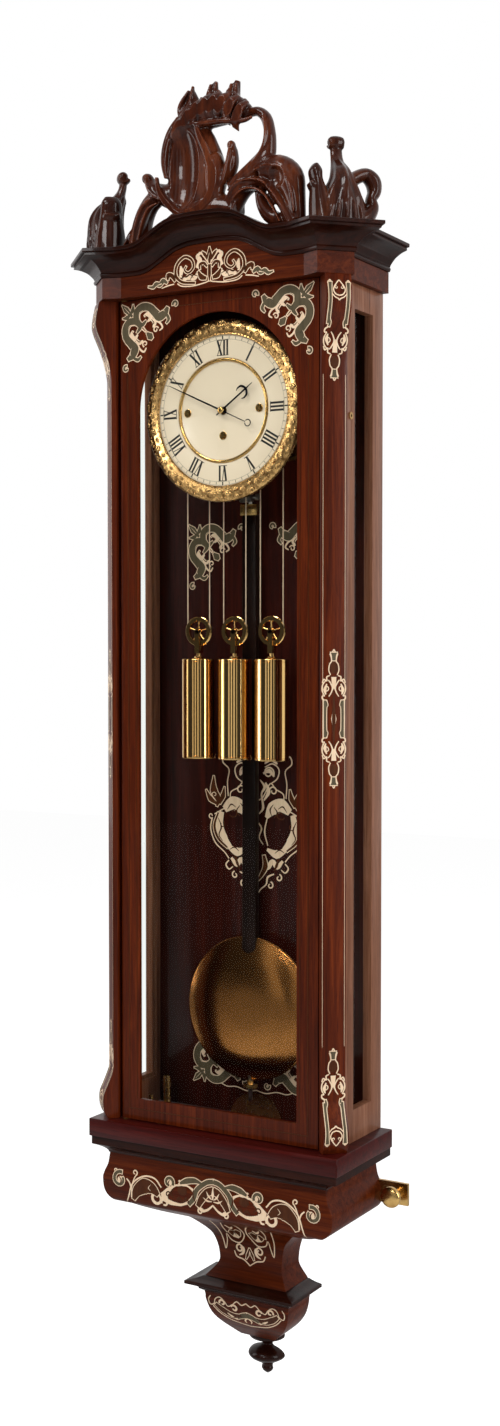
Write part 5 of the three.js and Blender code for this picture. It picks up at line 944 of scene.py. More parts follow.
neck_half = [
    ("line", [(-44, -106), (-40, -113), (-36, -124), (-33, -140), (-31, -151), (-28, -142), (-27, -132)],
        [1.1, 1.3, 1.3, 1.2, 1], 5),
    ("line", [(-26, -132), (-22, -139), (-12, -141), (-5, -134), (-2, -126), (-6, -117), (-15, -112),
        (-24, -114), (-27, -122), (-25, -130)], [1.2, 1.6, 1.2], 5),
    ("dark", [(-21, -127), (-14, -130), (-8, -124)], [6, 12, 5], 4),
    ("cream", [(-22, -118), (-17, -122), (-13, -119)], [1, 4, 1.4], 5),
    curl("line", -12.5, -148, 5, 80, 1.0, 2, 0.3),
    ("cream", [(-13, -142), (-8, -147), (-9, -153), (-14, -156)], [1, 3.4, 3, 1], 5),
    ("line", [(-20, -152), (-17, -158), (-9, -160), (-4, -163), (0, -166)], [1.2, 1.6, 1.4, 1.2], 5),
    ("dark", [(0, -146), (-3, -154), (-5, -159)], [1, 3, 0.8], 4),
]
base_strokes = base_half + flipped(base_half) + neck_half + flipped(neck_half)
inlaid("shaped_base_marquetry", along_base(base_strokes), on_base, inlay_woods, "case")

# Bowl under the neck: a moulded collar over a swelling veneered bowl with a garland of marquetry,
# built up from softwood and glued under the neck of the base.
collar = eased([(53, 53, -182.3), (60.2, 60.9, -184.5), (68.4, 68.4, -185.9)], 4) + [(69.2, 69.2, -186.3),
    (69.2, 69.2, -189.3)]
collar += eased([(68.6, 68.4, -189.5), (64, 63, -192), (59, 57, -195), (58, 56, -197)], 5)
bowl_front = eased([(54.2, 50, -200.8), (53.4, 49.4, -205), (53, 49, -210), (50, 46, -221), (45, 42, -230),
    (38, 36, -238), (29, 29, -246), (22, 24, -251.7)], 6)
bowl_mesh = levels_down(collar + bowl_front)
piece("bowl_shown", bowl_mesh, [veneer_across, black_wood], "case", ["bowl"], 28)
for polygon in bowl_mesh.polygons:
    if polygon.center.z > -199 * mm + case_drop:
        polygon.material_index = 1
bowl_lengths = lengths_down(bowl_front)


def on_bowl(x, s):
    depth, z = down_front(bowl_front, bowl_lengths, -s)
    d1, z1 = down_front(bowl_front, bowl_lengths, -s + 2)
    out = Vector((0, -abs(z - z1) - 0.3, -abs(d1 - depth))).normalized()
    return (x, -depth, z), tuple(out)


bowl_half = [
    ("line", [(-46, -4), (-49, -9), (-47, -15), (-42, -13), (-40, -7), (-34, -4), (-28, -8), (-24, -13),
        (-18, -10), (-12, -5), (-6, -8), (0, -5)], [1.1, 1.2], 4),
    ("line", [(-44, -16), (-36, -24), (-24, -31), (-12, -34), (0, -36)], [1.1, 1.3], 5),
    ("dark", [(-40, -13), (-32, -19), (-20, -24), (-8, -22)], [4, 7, 7, 3], 5),
    curl("cream", -31, -10, 4, 200, -0.9, 2.2, 0.4),
    curl("cream", -16, -14, 4.4, 160, -0.9, 2.4, 0.4),
    ("grey", [(-14, -26), (-7, -22), (0, -20)], [4, 6, 7], 5),
    ("spark", [(0, -24), (-4, -27), (-3, -31)], [0.8, 2, 0.6], 4),
    ("cream", [(-26, -22), (-20, -26), (-14, -29)], [1, 3, 1], 5),
]
inlaid("bowl_marquetry", bowl_half + flipped(bowl_half), on_bowl, inlay_woods, "case")

# Drop finial: turned from one piece of black wood and sawn in half, its flat back on the wall,
# polished as the mouldings are and glued under the bowl.
drop_profile = eased([(22.2, -252.2), (22.2, -254.4), (20, -257.9), (12, -260.8), (7.1, -263.8),
    (7.1, -267.2), (14, -269.6), (20, -273), (22.2, -277), (20, -280.9), (14, -284.8), (8, -288.2),
    (6.4, -291.2), (7.1, -294.1), (5, -298), (1, -301)], 5)
half_rings = []
for radius, z in drop_profile:
    radius = min(radius, 22.2)
    half_turn = [math.pi * i / 24 for i in range(25)]
    half_rings.append([(radius * math.cos(a), -radius * math.sin(a), z) for a in half_turn])
piece("drop_finial_shown", solid([loft(half_rings)]), black_wood, "case", ["drop_finial"], 50)

# Frieze: rails between the case and the cornice with blocks over the pilasters, veneered, its front
# rising in the middle under the serpentine cornice and inlaid with volutes and a leaf.
serpentine = eased([(-0.2, 1.0), (0, 1.0), (0.18, 0.99), (0.34, 0.935), (0.5, 0.772), (0.69, 0.406),
    (0.856, 0.102), (1, 0), (1.2, 0)], 8)


def rise(x):
    share = min(abs(x) / 90, 1)
    return 24.6 * max(float(np.interp(share, [s for s, _ in serpentine], [r for _, r in serpentine])), 0)


plan = [(148, 0), (148, -91.7), (160, -103.7), (132.2, -131.5), (112.7, -124)]
plan_left = [(-x, y) for x, y in reversed(plan)]
leg_plan = plan + [(112.7, -108), (128.5, -108), (128.5, 0)]


def along_z(a, b, h):
    return a, b, h


legs = [prism([(hand * x, y) for x, y in leg_plan], 900, 922.2, (), along_z) for hand in (-1, 1)]
serpentine_x = [90 * math.cos(math.pi * i / 60) for i in range(61)]
frieze_outline = [(112.6, 900), (112.6, 922.2)] + [(x, 922.2 + rise(x)) for x in serpentine_x]
frieze_outline += [(-112.6, 922.2), (-112.6, 900)]
frieze_mesh = solid(legs + [prism(frieze_outline, -124, -108)])
piece("frieze_shown", frieze_mesh, veneer_across, "case", ["frieze"], 28)
frieze_half = [
    ("dark", [(-18, 4.5), (-34, 7), (-42, 15), (-40.5, 26), (-31, 33), (-22, 29), (-20, 21), (-26, 16),
        (-31, 19), (-29, 23)], [2.2, 2.6, 2.8, 2.6, 2.4, 2.2, 2, 1.6, 1.2], 5),
    ("line", [(0, 5), (-6, 3.4), (-20, 1.6), (-34, 2.6), (-40, 6)], [1.2, 1.3], 5),
    ("cream", [(-36, 12), (-35, 19), (-36, 24)], [3, 5, 1.6], 4),
    ("cream", [(-33, 9), (-26, 11.5), (-19, 10), (-14, 14)], [3, 6, 6, 3], 5),
    ("cream", [(-16, 20), (-12, 27), (-15, 32), (-10, 35)], [3, 6, 4, 1.4], 5),
    ("vein", [(-35, 14), (-29, 12), (-24, 14), (-20, 10)], [0.6, 1.8, 1.6, 0.5], 4),
    ("vein", [(-24, 8), (-20, 13), (-14, 11)], [0.5, 1.5, 0.5], 4),
    ("dark", [(-4, 8), (-10, 10), (-14, 16)], [3, 6, 2], 4),
    ("dark", [(-3, 20), (-7, 24), (-12, 23), (-12, 18)], [2, 3, 2.6, 1.4], 5),
    curl("vein", -8, 22, 3, 30, 0.9, 1.2, 0.3),
    ("line", [(-2, 24), (-7, 31), (-12, 35.5), (-14, 31)], [1.2, 1.8, 1.6, 1], 5),
    ("dark", [(-2, 27), (-6, 33), (-9, 36)], [2, 3.4, 1], 4),
    ("dark", [(-43, 9), (-47, 15), (-52, 16), (-52, 11)], [2, 4.4, 4.4, 2], 4),
    ("grey", [(-53, 8), (-58, 11), (-62, 7), (-67, 8.6), (-71, 5.5), (-77, 6.5)], [2.4, 4.6, 4.4, 4, 3.2, 1],
        5),
    ("line", [(-44, 6), (-52, 5), (-60, 3)], [1.2, 1.4, 1], 4),
    ("spark", [(-60, 8), (-66, 6.6)], [1.2, 0.4], 3),
]
frieze_middle = [
    ("dark", [(0, 23), (0, 32), (0, 40)], [1.6, 6.4, 0.6], 5),
    ("dark", [(0, 22), (0, 12), (0, 5)], [3.4, 3.6, 1.2], 5),
    ("cream", [(0, 4), (0, 9), (0, 14)], [4.4, 3.4, 0.6], 4),
    ("spark", [(-2.4, 26), (0, 34)], [0.8, 0.4], 3),
]


def on_frieze(x, z):
    return (x, -124, z), (0, -1, 0)


frieze_strokes = flipped(frieze_half + flipped(frieze_half) + frieze_middle, 1, 1, 0, 902)
inlaid("frieze_marquetry", frieze_strokes, on_frieze, inlay_woods, "case")

# Cornice: a tall moulding of black wood carried round the frieze with mitred corners, with the
# board that closes the top of the case behind it.
cornice_section = [(-18, 0), (1.4, 0)] + eased([(1.6, 0.4), (2.5, 2.75), (1.5, 5)], 4)
cornice_section += eased([(1.8, 5.4), (3.4, 8.25), (8.3, 13.8), (15.2, 18.2), (20.9, 20.3)], 6)
cornice_section += [(21.6, 20.6), (21.6, 23.2), (24, 23.5), (24.5, 24.2), (24.5, 27), (24, 27.5), (-18, 27.5)]
cornice_plan = plan + [(x, -124) for x in serpentine_x] + plan_left


def way_out(a, b):
    """Square to the run from a to b, towards the outside of the cornice."""
    run = Vector((b[0] - a[0], b[1] - a[1])).normalized()
    return Vector((run.y, -run.x))


cornice_foot = 922.5
cornice_ways = [way_out(a, b) for a, b in zip(cornice_plan, cornice_plan[1:])]
cornice_ways = cornice_ways[:1] + cornice_ways + cornice_ways[-1:]
cornice_rings = []
for (x, y), before, after in zip(cornice_plan, cornice_ways, cornice_ways[1:]):
    mitre = (before + after) / (1 + before.dot(after))
    lift = rise(x) if abs(y + 124) < 0.1 else 0
    cornice_rings.append([(x - mitre.x * out, y - mitre.y * out, cornice_foot + lift + up)
        for out, up in cornice_section])
top_board = block(-148, 148, -107.7, 0, cornice_foot, 934.5)
cornice_mesh = solid([loft(cornice_rings), top_board])
piece("cornice_shown", cornice_mesh, black_wood, "case", ["cornice"], 30)

# Crest on the cornice: an asymmetric shell and leaf carving sawn from a thick board, carved in
# high relief, stained red-brown and polished, and doweled to the cornice.
# Its hollows carry painted shade and its ridges a painted highlight.
carved_wood = wood("carved crest wood", tone(34, 11, 5), tone(66, 27, 13), tone(108, 54, 29),
    stretch=(30, 30, 8), roughness=0.26, coat=0.34, hollow_shade=True)
crest_limbs = [
    [(-.08, .12, .05, .34), (-.08, .24, .11, .4), (-.075, .33, .16, .46), (-.085, .45, .158, .5),
        (-.1, .57, .135, .46), (-.11, .67, .11, .42), (-.105, .79, .075, .34), (-.1, .86, .04, .2),
        (-.1, .94, .008, .06)],
    [(-.12, .76, .055, .36), (-.02, .785, .075, .46), (.07, .785, .07, .44), (.15, .775, .058, .36),
        (.215, .735, .03, .2)],
    [(-.005, .82, .03, .2), (.008, .91, .024, .16), (.032, .97, .008, .08)],
    [(.125, .81, .03, .2), (.135, .89, .024, .16), (.147, .95, .014, .1)],
    [(.2, .735, .018, .16), (.255, .74, .022, .22), (.3, .695, .026, .24), (.32, .61, .026, .24),
        (.318, .53, .034, .26), (.3, .455, .045, .3), (.25, .4, .045, .34), (.19, .35, .04, .36),
        (.13, .28, .05, .38)],
    [(.28, .37, .045, .34), (.36, .37, .068, .42), (.425, .3, .075, .42), (.455, .19, .052, .34),
        (.475, .04, .034, .26)],
    [(.11, .17, .045, .4), (.18, .275, .034, .38), (.26, .305, .027, .36), (.32, .28, .026, .36),
        (.37, .2, .026, .36), (.415, .11, .026, .36), (.45, .02, .03, .36)],
    [(.08, .34, .03, .26), (.118, .44, .028, .24), (.123, .52, .02, .2), (.118, .555, .014, .14)],
    [(-.22, .1, .06, .4), (-.1, .16, .075, .46), (.04, .17, .08, .46), (.15, .14, .065, .42)],
    [(-.35, .43, .022, .2), (-.33, .375, .034, .28), (-.28, .33, .05, .34), (-.22, .3, .06, .38),
        (-.14, .26, .06, .38)],
    [(-.3, .32, .045, .32), (-.35, .27, .042, .34), (-.385, .19, .045, .36), (-.405, .1, .05, .36),
        (-.43, .02, .042, .3)],
    [(-.4, .13, .035, .3), (-.455, .09, .024, .22), (-.5, .04, .008, .1)],
    [(.27, .26, .024, .24), (.285, .17, .03, .28), (.32, .1, .036, .28), (.37, .06, .034, .26),
        (.42, .04, .02, .2)],
]


def limb(path, sides=18):
    """A carved limb: a tube along (place, half thickness across, half depth, way of the depth) rows."""
    rings = []
    for i, (centre, half_across, half_deep, deep_way) in enumerate(path):
        before = path[max(i - 1, 0)][0]
        after = path[min(i + 1, len(path) - 1)][0]
        run = (after - before).normalized()
        across = run.cross(deep_way).normalized()
        ring = []
        for k in range(sides):
            a = 2 * math.pi * k / sides
            ring.append(tuple(centre + across * (half_across * math.cos(a))
                + deep_way * (half_deep * math.sin(a))))
        rings.append(ring)
    return loft(rings)


def smooth_rows(rows, steps=4):
    """Rows of numbers made denser along a smooth curve."""
    out = []
    for i in range(len(rows) - 1):
        p0, p1, p2, p3 = (np.array(rows[min(max(j, 0), len(rows) - 1)], float)
            for j in (i - 1, i, i + 1, i + 2))
        for k in range(steps):
            t = k / steps
            out.append(0.5 * (2 * p1 + (p2 - p0) * t + (2 * p0 - 5 * p1 + 4 * p2 - p3) * t * t
                + (3 * p1 - p0 - 3 * p2 + p3) * t ** 3))
    out.append(np.array(rows[-1], float))
    return out


carving_foot = 950.3
crest_plane = -120.0
crest_width, crest_height, crest_depth = 220, 168, 32
inwards = Vector((0, 1, 0))


def crest_limb(rows):
    """A limb from rows of X, height, half thickness and half depth, as shares of the crest."""
    path = []
    for x, z, half, deep in smooth_rows(rows):
        centre = Vector((x * crest_width, crest_plane, carving_foot + z * crest_height))
        path.append((centre, max(half, 0.004) * crest_width, max(deep, 0.02) * crest_depth, inwards))
    return limb(path)


def rib(points, half_width, lift, forward):
    """A raised rib on the front of the carving: points in X and height, its front standing forward."""
    run = eased(points, 5)
    path = []
    for i, (x, z) in enumerate(run):
        t = i / (len(run) - 1)
        swell = math.sin(math.pi * min(max(t, 0.04), 0.96)) ** 0.6
        centre = Vector((x, crest_plane - forward, z))
        path.append((centre, half_width * (0.35 + 0.65 * swell), lift * (0.3 + 0.7 * swell), inwards))
    return limb(path, 12)


crest_parts = [crest_limb(rows) for rows in crest_limbs]
for i in range(8):
    x = -34 + 10.6 * i
    top = 1097 - 0.012 * (x - 6) ** 2
    curl_over = [(x + 4, top, 0), (x + 5, top + 1, 7), (x + 3, top - 6, 13.5), (x - 1, top - 14, 14.5),
        (x - 5, top - 20, 10), (x - 8, top - 24, 4)]
    path = [(Vector((px, crest_plane - py, pz)), 5, 4.6, inwards) for px, pz, py in smooth_rows(curl_over)]
    crest_parts.append(limb(path, 14))
for points, half_width, lift, forward in (
    ([(-38, 1066), (-20, 1069), (0, 1068), (22, 1067), (44, 1064), (56, 1066)], 3, 5, 11.5),
    ([(-60, 1020), (-56, 1004), (-44, 988), (-28, 978), (-8, 980), (6, 992), (10, 1010), (4, 1034),
        (-6, 1056), (-12, 1070)], 4.2, 6, 13.5),
    ([(-50, 1018), (-52, 1034), (-50, 1050), (-44, 1066), (-34, 1080)], 4, 5.4, 10.5),
    ([(24, 996), (40, 1010), (56, 1020), (68, 1036), (70, 1054), (66, 1066)], 2.2, 5, 7),
    ([(16, 976), (34, 999), (54, 1003), (70, 998), (82, 984), (92, 968)], 1.7, 6, 9),
    ([(20, 968), (38, 990), (54, 994), (68, 988), (78, 975), (88, 956)], 1.5, 6, 9.4),
    ([(58, 1012), (74, 1015), (90, 1008), (101, 990), (105, 964)], 2.2, 5, 10),
    ([(-20, 962), (-4, 972), (12, 972), (28, 962)], 3, 6, 11.5),
    ([(-30, 966), (-16, 976), (-6, 990)], 2.4, 5, 9.5),
    ([(2, 975), (10, 990), (20, 1008), (26, 1028), (27, 1040)], 2.6, 5, 8.5),
    ([(-78, 1020), (-70, 1006), (-58, 998), (-44, 992)], 2.6, 5, 8.5),
    ([(-94, 954), (-88, 974), (-80, 992), (-66, 1002)], 2.6, 5, 9.5),
    ([(-86, 954), (-80, 972), (-72, 988), (-60, 994)], 1.8, 5, 10.5),
):
    crest_parts.append(rib(points, half_width, lift, forward))
for x0, z0, x1, z1 in ((-36, 1092, -25, 1108), (-22, 1096, -20, 1112), (-2, 1094, 2, 1110),
        (8, 1096, 9, 1112), (24, 1092, 27, 1107), (33, 1092, 33, 1106)):
    crest_parts.append(rib([(x0, z0 - 14), (x0, z0), (x1, z1)], 2.6, 4.2, 4))


def ball(x, y, z, rx, ry, rz, rings=10, sides=18):
    """An egg-shaped lump."""
    stack = []
    for i in range(1, rings):
        a = math.pi * i / rings
        round_turn = [2 * math.pi * k / sides for k in range(sides)]
        stack.append([(x + rx * math.sin(a) * math.cos(b), y + ry * math.sin(a) * math.sin(b),
            z - rz * math.cos(a)) for b in round_turn])
    return loft(stack)


crest_parts.append(ball(10, crest_plane - 6, 1012, 10.5, 12, 27))
crest_parts.append(ball(-78, crest_plane - 3, 1023, 6, 8, 6))
crest_parts.append(ball(27, crest_plane - 4, 1043, 4.4, 6, 5.4))
crest_parts.append(ball(-88, crest_plane - 2, 962, 9, 9, 9))


def carved(parts, hollows, cell, passes, seat, box):
    """Carved wood: its limbs grown into one skin, hollows cut out, softened, and kept on its seat."""
    one_skin = ("REMESH", {"mode": "VOXEL", "voxel_size": cell * mm})
    mesh = worked(solid(parts), one_skin)
    if hollows:
        mesh = worked(cut_out(mesh, [[hollow] for hollow in hollows]), one_skin)
    mesh = worked(mesh, ("SMOOTH", {"factor": 0.5, "iterations": passes}))
    lowest, highest = box
    for vertex in mesh.vertices:
        x, y, z = vertex.co
        foot = max(seat(x / mm) * mm + case_drop, lowest[2])
        vertex.co = (min(max(x, lowest[0]), highest[0]), min(max(y, lowest[1]), highest[1]),
            max(min(z, highest[2]), foot))
    return mesh


def on_cornice(x):
    return 950.35 + rise(x)


shell_hollows = [
    ball(-28, crest_plane - 22, 1024, 23, 20, 47, 24, 48),
    ball(83, crest_plane - 20, 1000, 13, 14, 14, 20, 40),
]
crest_mesh = carved(crest_parts, shell_hollows, 1.05, 3, on_cornice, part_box("crest_carving"))
piece("crest_shown", crest_mesh, carved_wood, "case", ["crest_carving"], 70)

# Corner finials over the pilasters: a leaf-covered stem with a volute at its head and a leafy
# scroll beside it, each carved from one block of the same wood and doweled down.
# Its hollows carry painted shade and its ridges a painted highlight.
finial_wood = wood("carved finial wood", tone(28, 10, 5), tone(52, 22, 12), tone(86, 44, 25),
    stretch=(30, 30, 8), roughness=0.27, coat=0.3, hollow_shade=True)
finial_body = [(.04, .01, .42, .36), (.05, .18, .48, .32), (.03, .34, .48, .24), (0, .46, .45, .16),
    (-.1, .57, .38, .12), (-.24, .65, .27, .095), (-.32, .705, .16, .085), (-.4, .79, .115, .08),
    (-.43, .9, .1, .08)]
finial_scrolls = [
    [(.02, .41, .1, .3), (.12, .49, .09, .28), (.27, .54, .085, .26), (.375, .475, .1, .26),
        (.395, .37, .088, .24), (.35, .28, .07, .24), (.36, .19, .09, .28), (.25, .08, .13, .36),
        (.12, .03, .12, .4)],
    [(-.26, .05, .22, .42), (-.32, .2, .15, .38), (-.35, .34, .11, .32), (-.375, .45, .078, .28),
        (-.39, .55, .085, .26), (-.39, .62, .03, .16)],
    [(-.3, .3, .08, .26), (-.41, .38, .062, .24), (-.46, .43, .04, .2)],
]
finial_height, finial_width, finial_depth = 97, 80, 43
for side, hand in (("left", -1), ("right", 1)):
    along = Vector((hand * cornerwise, cornerwise, 0))
    outwards = Vector((hand * cornerwise, -cornerwise, 0))
    foot = Vector((hand * 147.4, -101.4, carving_foot))
    stem = foot - along * 3.6

    def place(origin, a, o, z):
        return origin + along * a + outwards * o + Vector((0, 0, z))

    parts = []
    body_rows = smooth_rows(finial_body, 5)
    rings = []
    for o, z, thick, broad in body_rows:
        centre = place(stem, 0, o * finial_depth, z * finial_height)
        ring = []
        for k in range(40):
            a = 2 * math.pi * k / 40
            flute = 1 + 0.075 * math.cos(8 * a) * min(1, z * 3) * (1 if z < 0.75 else 0)
            ring.append(tuple(centre + outwards * (thick * finial_depth * flute * math.cos(a) * 0.92)
                + along * (broad * finial_width * flute * math.sin(a))))
        rings.append(ring)
    parts.append(loft(rings))
    for rows in finial_scrolls:
        path = []
        for a, z, half, deep in smooth_rows(rows):
            centre = place(foot, a * finial_width, 0, z * finial_height)
            path.append((centre, half * finial_width, max(deep, 0.05) * finial_depth, outwards))
        parts.append(limb(path, 16))
    volute = place(stem, 0, -0.42 * finial_depth, 0.915 * finial_height)
    turns = []
    for i in range(36):
        t = i / 35
        a = math.radians(200) + 2 * math.pi * 1.35 * t
        r = 6.2 * (1 - 0.72 * t)
        centre = volute + outwards * (r * math.cos(a)) + Vector((0, 0, r * math.sin(a)))
        turns.append((centre, 2.6 - 0.8 * t, 9 - 3 * t, along))
    parts.append(limb(turns, 12))
    volute_eye = [(volute + along * a, 3.2, 3.2, outwards) for a in (-8.6, 8.6)]
    parts.append(limb(volute_eye, 16))
    for spread, top in ((-0.7, 0.5), (-0.35, 0.62), (0, 0.66), (0.35, 0.62), (0.7, 0.5)):
        leaf = []
        for i in range(9):
            t = i / 8
            z = 0.02 + (top - 0.02) * t
            nearest = min(int(z * len(body_rows) / 0.9), len(body_rows) - 1)
            o, _, thick, broad = [float(v) for v in body_rows[nearest]]
            reach = thick * finial_depth * math.cos(spread) * 0.9
            sideways = broad * finial_width * math.sin(spread) * 0.95
            centre = place(stem, sideways, o * finial_depth + reach, z * finial_height)
            leaf.append((centre, 2.4 * (1 - 0.5 * t), 2.6, outwards))
        parts.append(limb(leaf, 10))
    mesh = carved(parts, [], 0.9, 4, lambda x: 950.35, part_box(f"{side}_finial"))
    piece(f"{side}_finial_shown", mesh, finial_wood, "case", [f"{side}_finial"], 70)

# Glazed door: a veneered frame with an arched opening, rebated behind for the pane, its hinge edge
# rounded so that it can turn on the two pins; marquetry fills the corners over the arch and a dark
# stringing runs round it. The keeper of the catch is screwed to its back.
door_front, door_back, door_lip_back = -112, -98, -108
opening_half, opening_foot, arch_centre = 98.5, 25, 778.5


def arch(margin):
    """The opening, grown by a margin."""
    radius = opening_half + margin
    points = [(-radius, opening_foot - margin), (radius, opening_foot - margin)]
    half_turn = [math.pi * i / 96 for i in range(97)]
    return points + [(radius * math.cos(a), arch_centre + radius * math.sin(a)) for a in half_turn]


pivot_x, pivot_y, edge_radius = -119.5, -107.5, 4.5
leaf_outline = [(pivot_x, 1.2), (124, 1.2), (124, 898.8), (pivot_x, 898.8)]
edge_plan = [(pivot_x, door_front), (pivot_x, door_back), (-124, door_back), (-124, pivot_y)]
for i in range(1, 8):
    a = math.pi / 2 * i / 8
    edge_plan.append((pivot_x - edge_radius * math.cos(a), pivot_y - edge_radius * math.sin(a)))
door_parts = [
    prism(leaf_outline, door_front, door_lip_back, [arch(0)]),
    prism(leaf_outline, door_lip_back, door_back, [arch(6)]),
]
for low, high in ((1.2, 10.2), (10.2, 889.8), (889.8, 898.8)):
    door_parts.append(prism(edge_plan, low, high, (), along_z))
piece("door_frame_shown", solid(door_parts), veneer, "door", ["door_frame"], 28)
refinish("door_glass", old_glass)
for name in ("door_keeper", "upper_door_pivot", "lower_door_pivot"):
    refinish(name, brass)


def on_door(x, z):
    return (x, door_front, z), (0, -1, 0)


stringing = [("vein", run, [0.9, 0.9], 1) for run in (
    [(-112, 818), (-112, 13.5)], [(112, 818), (112, 13.5)], [(-112, 13.5), (112, 13.5)],
    [(-46, 887.5), (44, 887.5)])]
for x in (-1, 1):
    edge = x * opening_half * 1.035
    stringing.append(("vein", [(edge, opening_foot), (edge, opening_foot + 740)], [0.5, 0.5], 1))
door_corners = flipped(corner_leaves(), 1, 1, -121, 896.5) + flipped(corner_leaves(), -1, 1, 119, 896.5)
inlaid("door_marquetry", door_corners + stringing, on_door, inlay_woods, "door")

# Door catch: a brass spindle through the right side with a finger inside that turns down behind
# the keeper, worked from outside by a square key.
refinish("door_catch", brass)

# Levelling screws: a plate let into the back of the base at each side carries a threaded shank
# with a round brass head, which is turned to set the foot of the case.
steel = metal("bright steel", tone(150, 148, 144), tone(92, 88, 82), roughness=0.3, scale=160, scratch=0.25)
knob_profile = eased([(0, 0), (9.6, 0), (10.35, 0.2)], 3) + eased([(11.1, 0.8), (11.25, 1.6), (11.25, 4),
    (10.2, 5.6), (8.1, 6.9), (4.6, 7.7), (0, 8)], 5)
for side, hand in (("left", -1), ("right", 1)):
    refinish(f"{side}_levelling_bracket", brass)
    refinish(f"{side}_levelling_shank", steel)
    knob = turned([(r, -16.3 - h) for r, h in knob_profile], (hand * 163, 0, -68), "Y", 64)
    piece(f"{side}_levelling_knob_shown", solid([knob]), brass, f"{side}_levelling_head",
        [f"{side}_levelling_knob"], 40)

# Winding crank: stood on the case floor at the left when not in use, a square-ended steel shank
# with a brass arm and a turned brass handle.
refinish("winding_crank", brass)
handle_profile = eased([(0, 4), (3, 4), (3, 5.4), (2.2, 7), (2.9, 10), (3, 14), (2.4, 17), (0, 18)], 4)
handle = solid([turned(handle_profile, (-113, -62, 0), "Z", 40)])
piece("crank_handle_shown", handle, brass, "winding_crank", smooth_angle=40)

# Movement: two brass plates held apart by pillars behind the dial, on a steel bracket screwed to the
# back board, with three barrels, the going train, the anchor and its crutch between and behind them.
for name in ("movement_bracket", "anchor"):
    refinish(name, steel)
for name in ("back_plate", "front_plate", "quarter_barrel", "going_barrel", "hour_barrel", "centre_arbor",
        "third_wheel", "escape_wheel"):
    refinish(name, brass)

# Gong and hammer: a coil of blued steel wire screwed to the back board and a small brass-headed
# hammer that strikes it.
blued = metal("blued steel", tone(26, 26, 32), tone(12, 11, 14), roughness=0.26, scale=130, scratch=0.12)
refinish("gong_set", blued)
refinish("hammer", brass)

# Dial: a copper plate enamelled white in two pieces, the centre sunk behind a thin brass ring, with
# fired black numerals and minute marks and three brass-lined holes for the key.
dial_centre = 774.5


def enamel_finish(name, warm, cool, roughness):
    made, tree = new_material(name)
    spot = node(tree, "ShaderNodeTexCoord").outputs["Object"]
    cloud = node(tree, "ShaderNodeTexNoise", Vector=spot, Scale=14, Detail=3).outputs["Fac"]
    wave = node(tree, "ShaderNodeBump", Strength=0.05, Distance=0.0004, Height=cloud)
    surface = node(tree, "ShaderNodeBsdfPrincipled", Base_Color=mixed(tree, cloud, warm, cool),
        Roughness=roughness, Coat_Weight=0.12, Coat_Roughness=0.06, Normal=wave.outputs[0])
    node(tree, "ShaderNodeOutputMaterial", Surface=surface.outputs[0])
    return made


enamel = enamel_finish("white enamel", tone(226, 206, 178), tone(235, 217, 190), 0.3)
fired_black = enamel_finish("fired black", tone(12, 10, 9), tone(30, 27, 25), 0.34)
hole_places = [(-44.5, 0), (44.5, 0), (0, -26.5)]
whole_dial = [(0, -92.5), (88, -92.5), (88, -95.6)] + eased([(87.9, -95.8), (87.6, -96), (86, -96)], 3)
whole_dial.append((56.4, -96))
sunk = eased([(56.2, -95.9), (56, -95.5), (56, -95.1), (55.6, -94.8)], 3) + [(0, -94.8)]


def round_dial(rows):
    """A ring or disc turned about the middle of the dial."""
    return turned(rows, (0, 0, dial_centre), "Y", 160)


def in_holes(rows, holes):
    """The same small turned piece in each hole of the dial."""
    return [turned(rows, (x, 0, dial_centre + z), "Y", 40) for x, z in holes]


drill = in_holes([(0, -80), (4.5, -80), (4.5, -110), (0, -110)], hole_places + [(0, 0)])
dial_mesh = cut_out(solid([round_dial(whole_dial + sunk)]), [drill])
piece("dial_shown", dial_mesh, enamel, "case", ["dial"], 40)
ring_top = eased([(52.2, -95.2), (52.4, -96.2), (53.4, -96.8), (54.6, -96.9), (55.5, -96.2), (55.7, -95.2)],
    4)
dial_ring = solid([round_dial([(52.2, -94.9)] + ring_top + [(55.7, -94.9)])])
piece("dial_ring_shown", dial_ring, brass, "case", ["dial_ring"], 40)
grommet = [(4.48, -93), (4.48, -96.5), (4.1, -96.7), (3.5, -96.6), (3.3, -96.2), (3.3, -93)]
rims = []
for hole in hole_places:
    front = -95.3 if math.hypot(*hole) < 56 else -96.5
    rims += in_holes([(r, y + (front + 96.5) * 0.9) for r, y in grommet], [hole])
piece("key_hole_rims", solid(rims), brass, "case", smooth_angle=40)


around_inputs = (
    ("Radius", "NodeSocketFloat"), ("Count", "NodeSocketInt"), ("Start", "NodeSocketFloat"),
    ("Smallest", "NodeSocketFloat"), ("Largest", "NodeSocketFloat"), ("Seed", "NodeSocketInt"),
    ("Forward", "NodeSocketFloat"), ("Finish", "NodeSocketMaterial"),
)


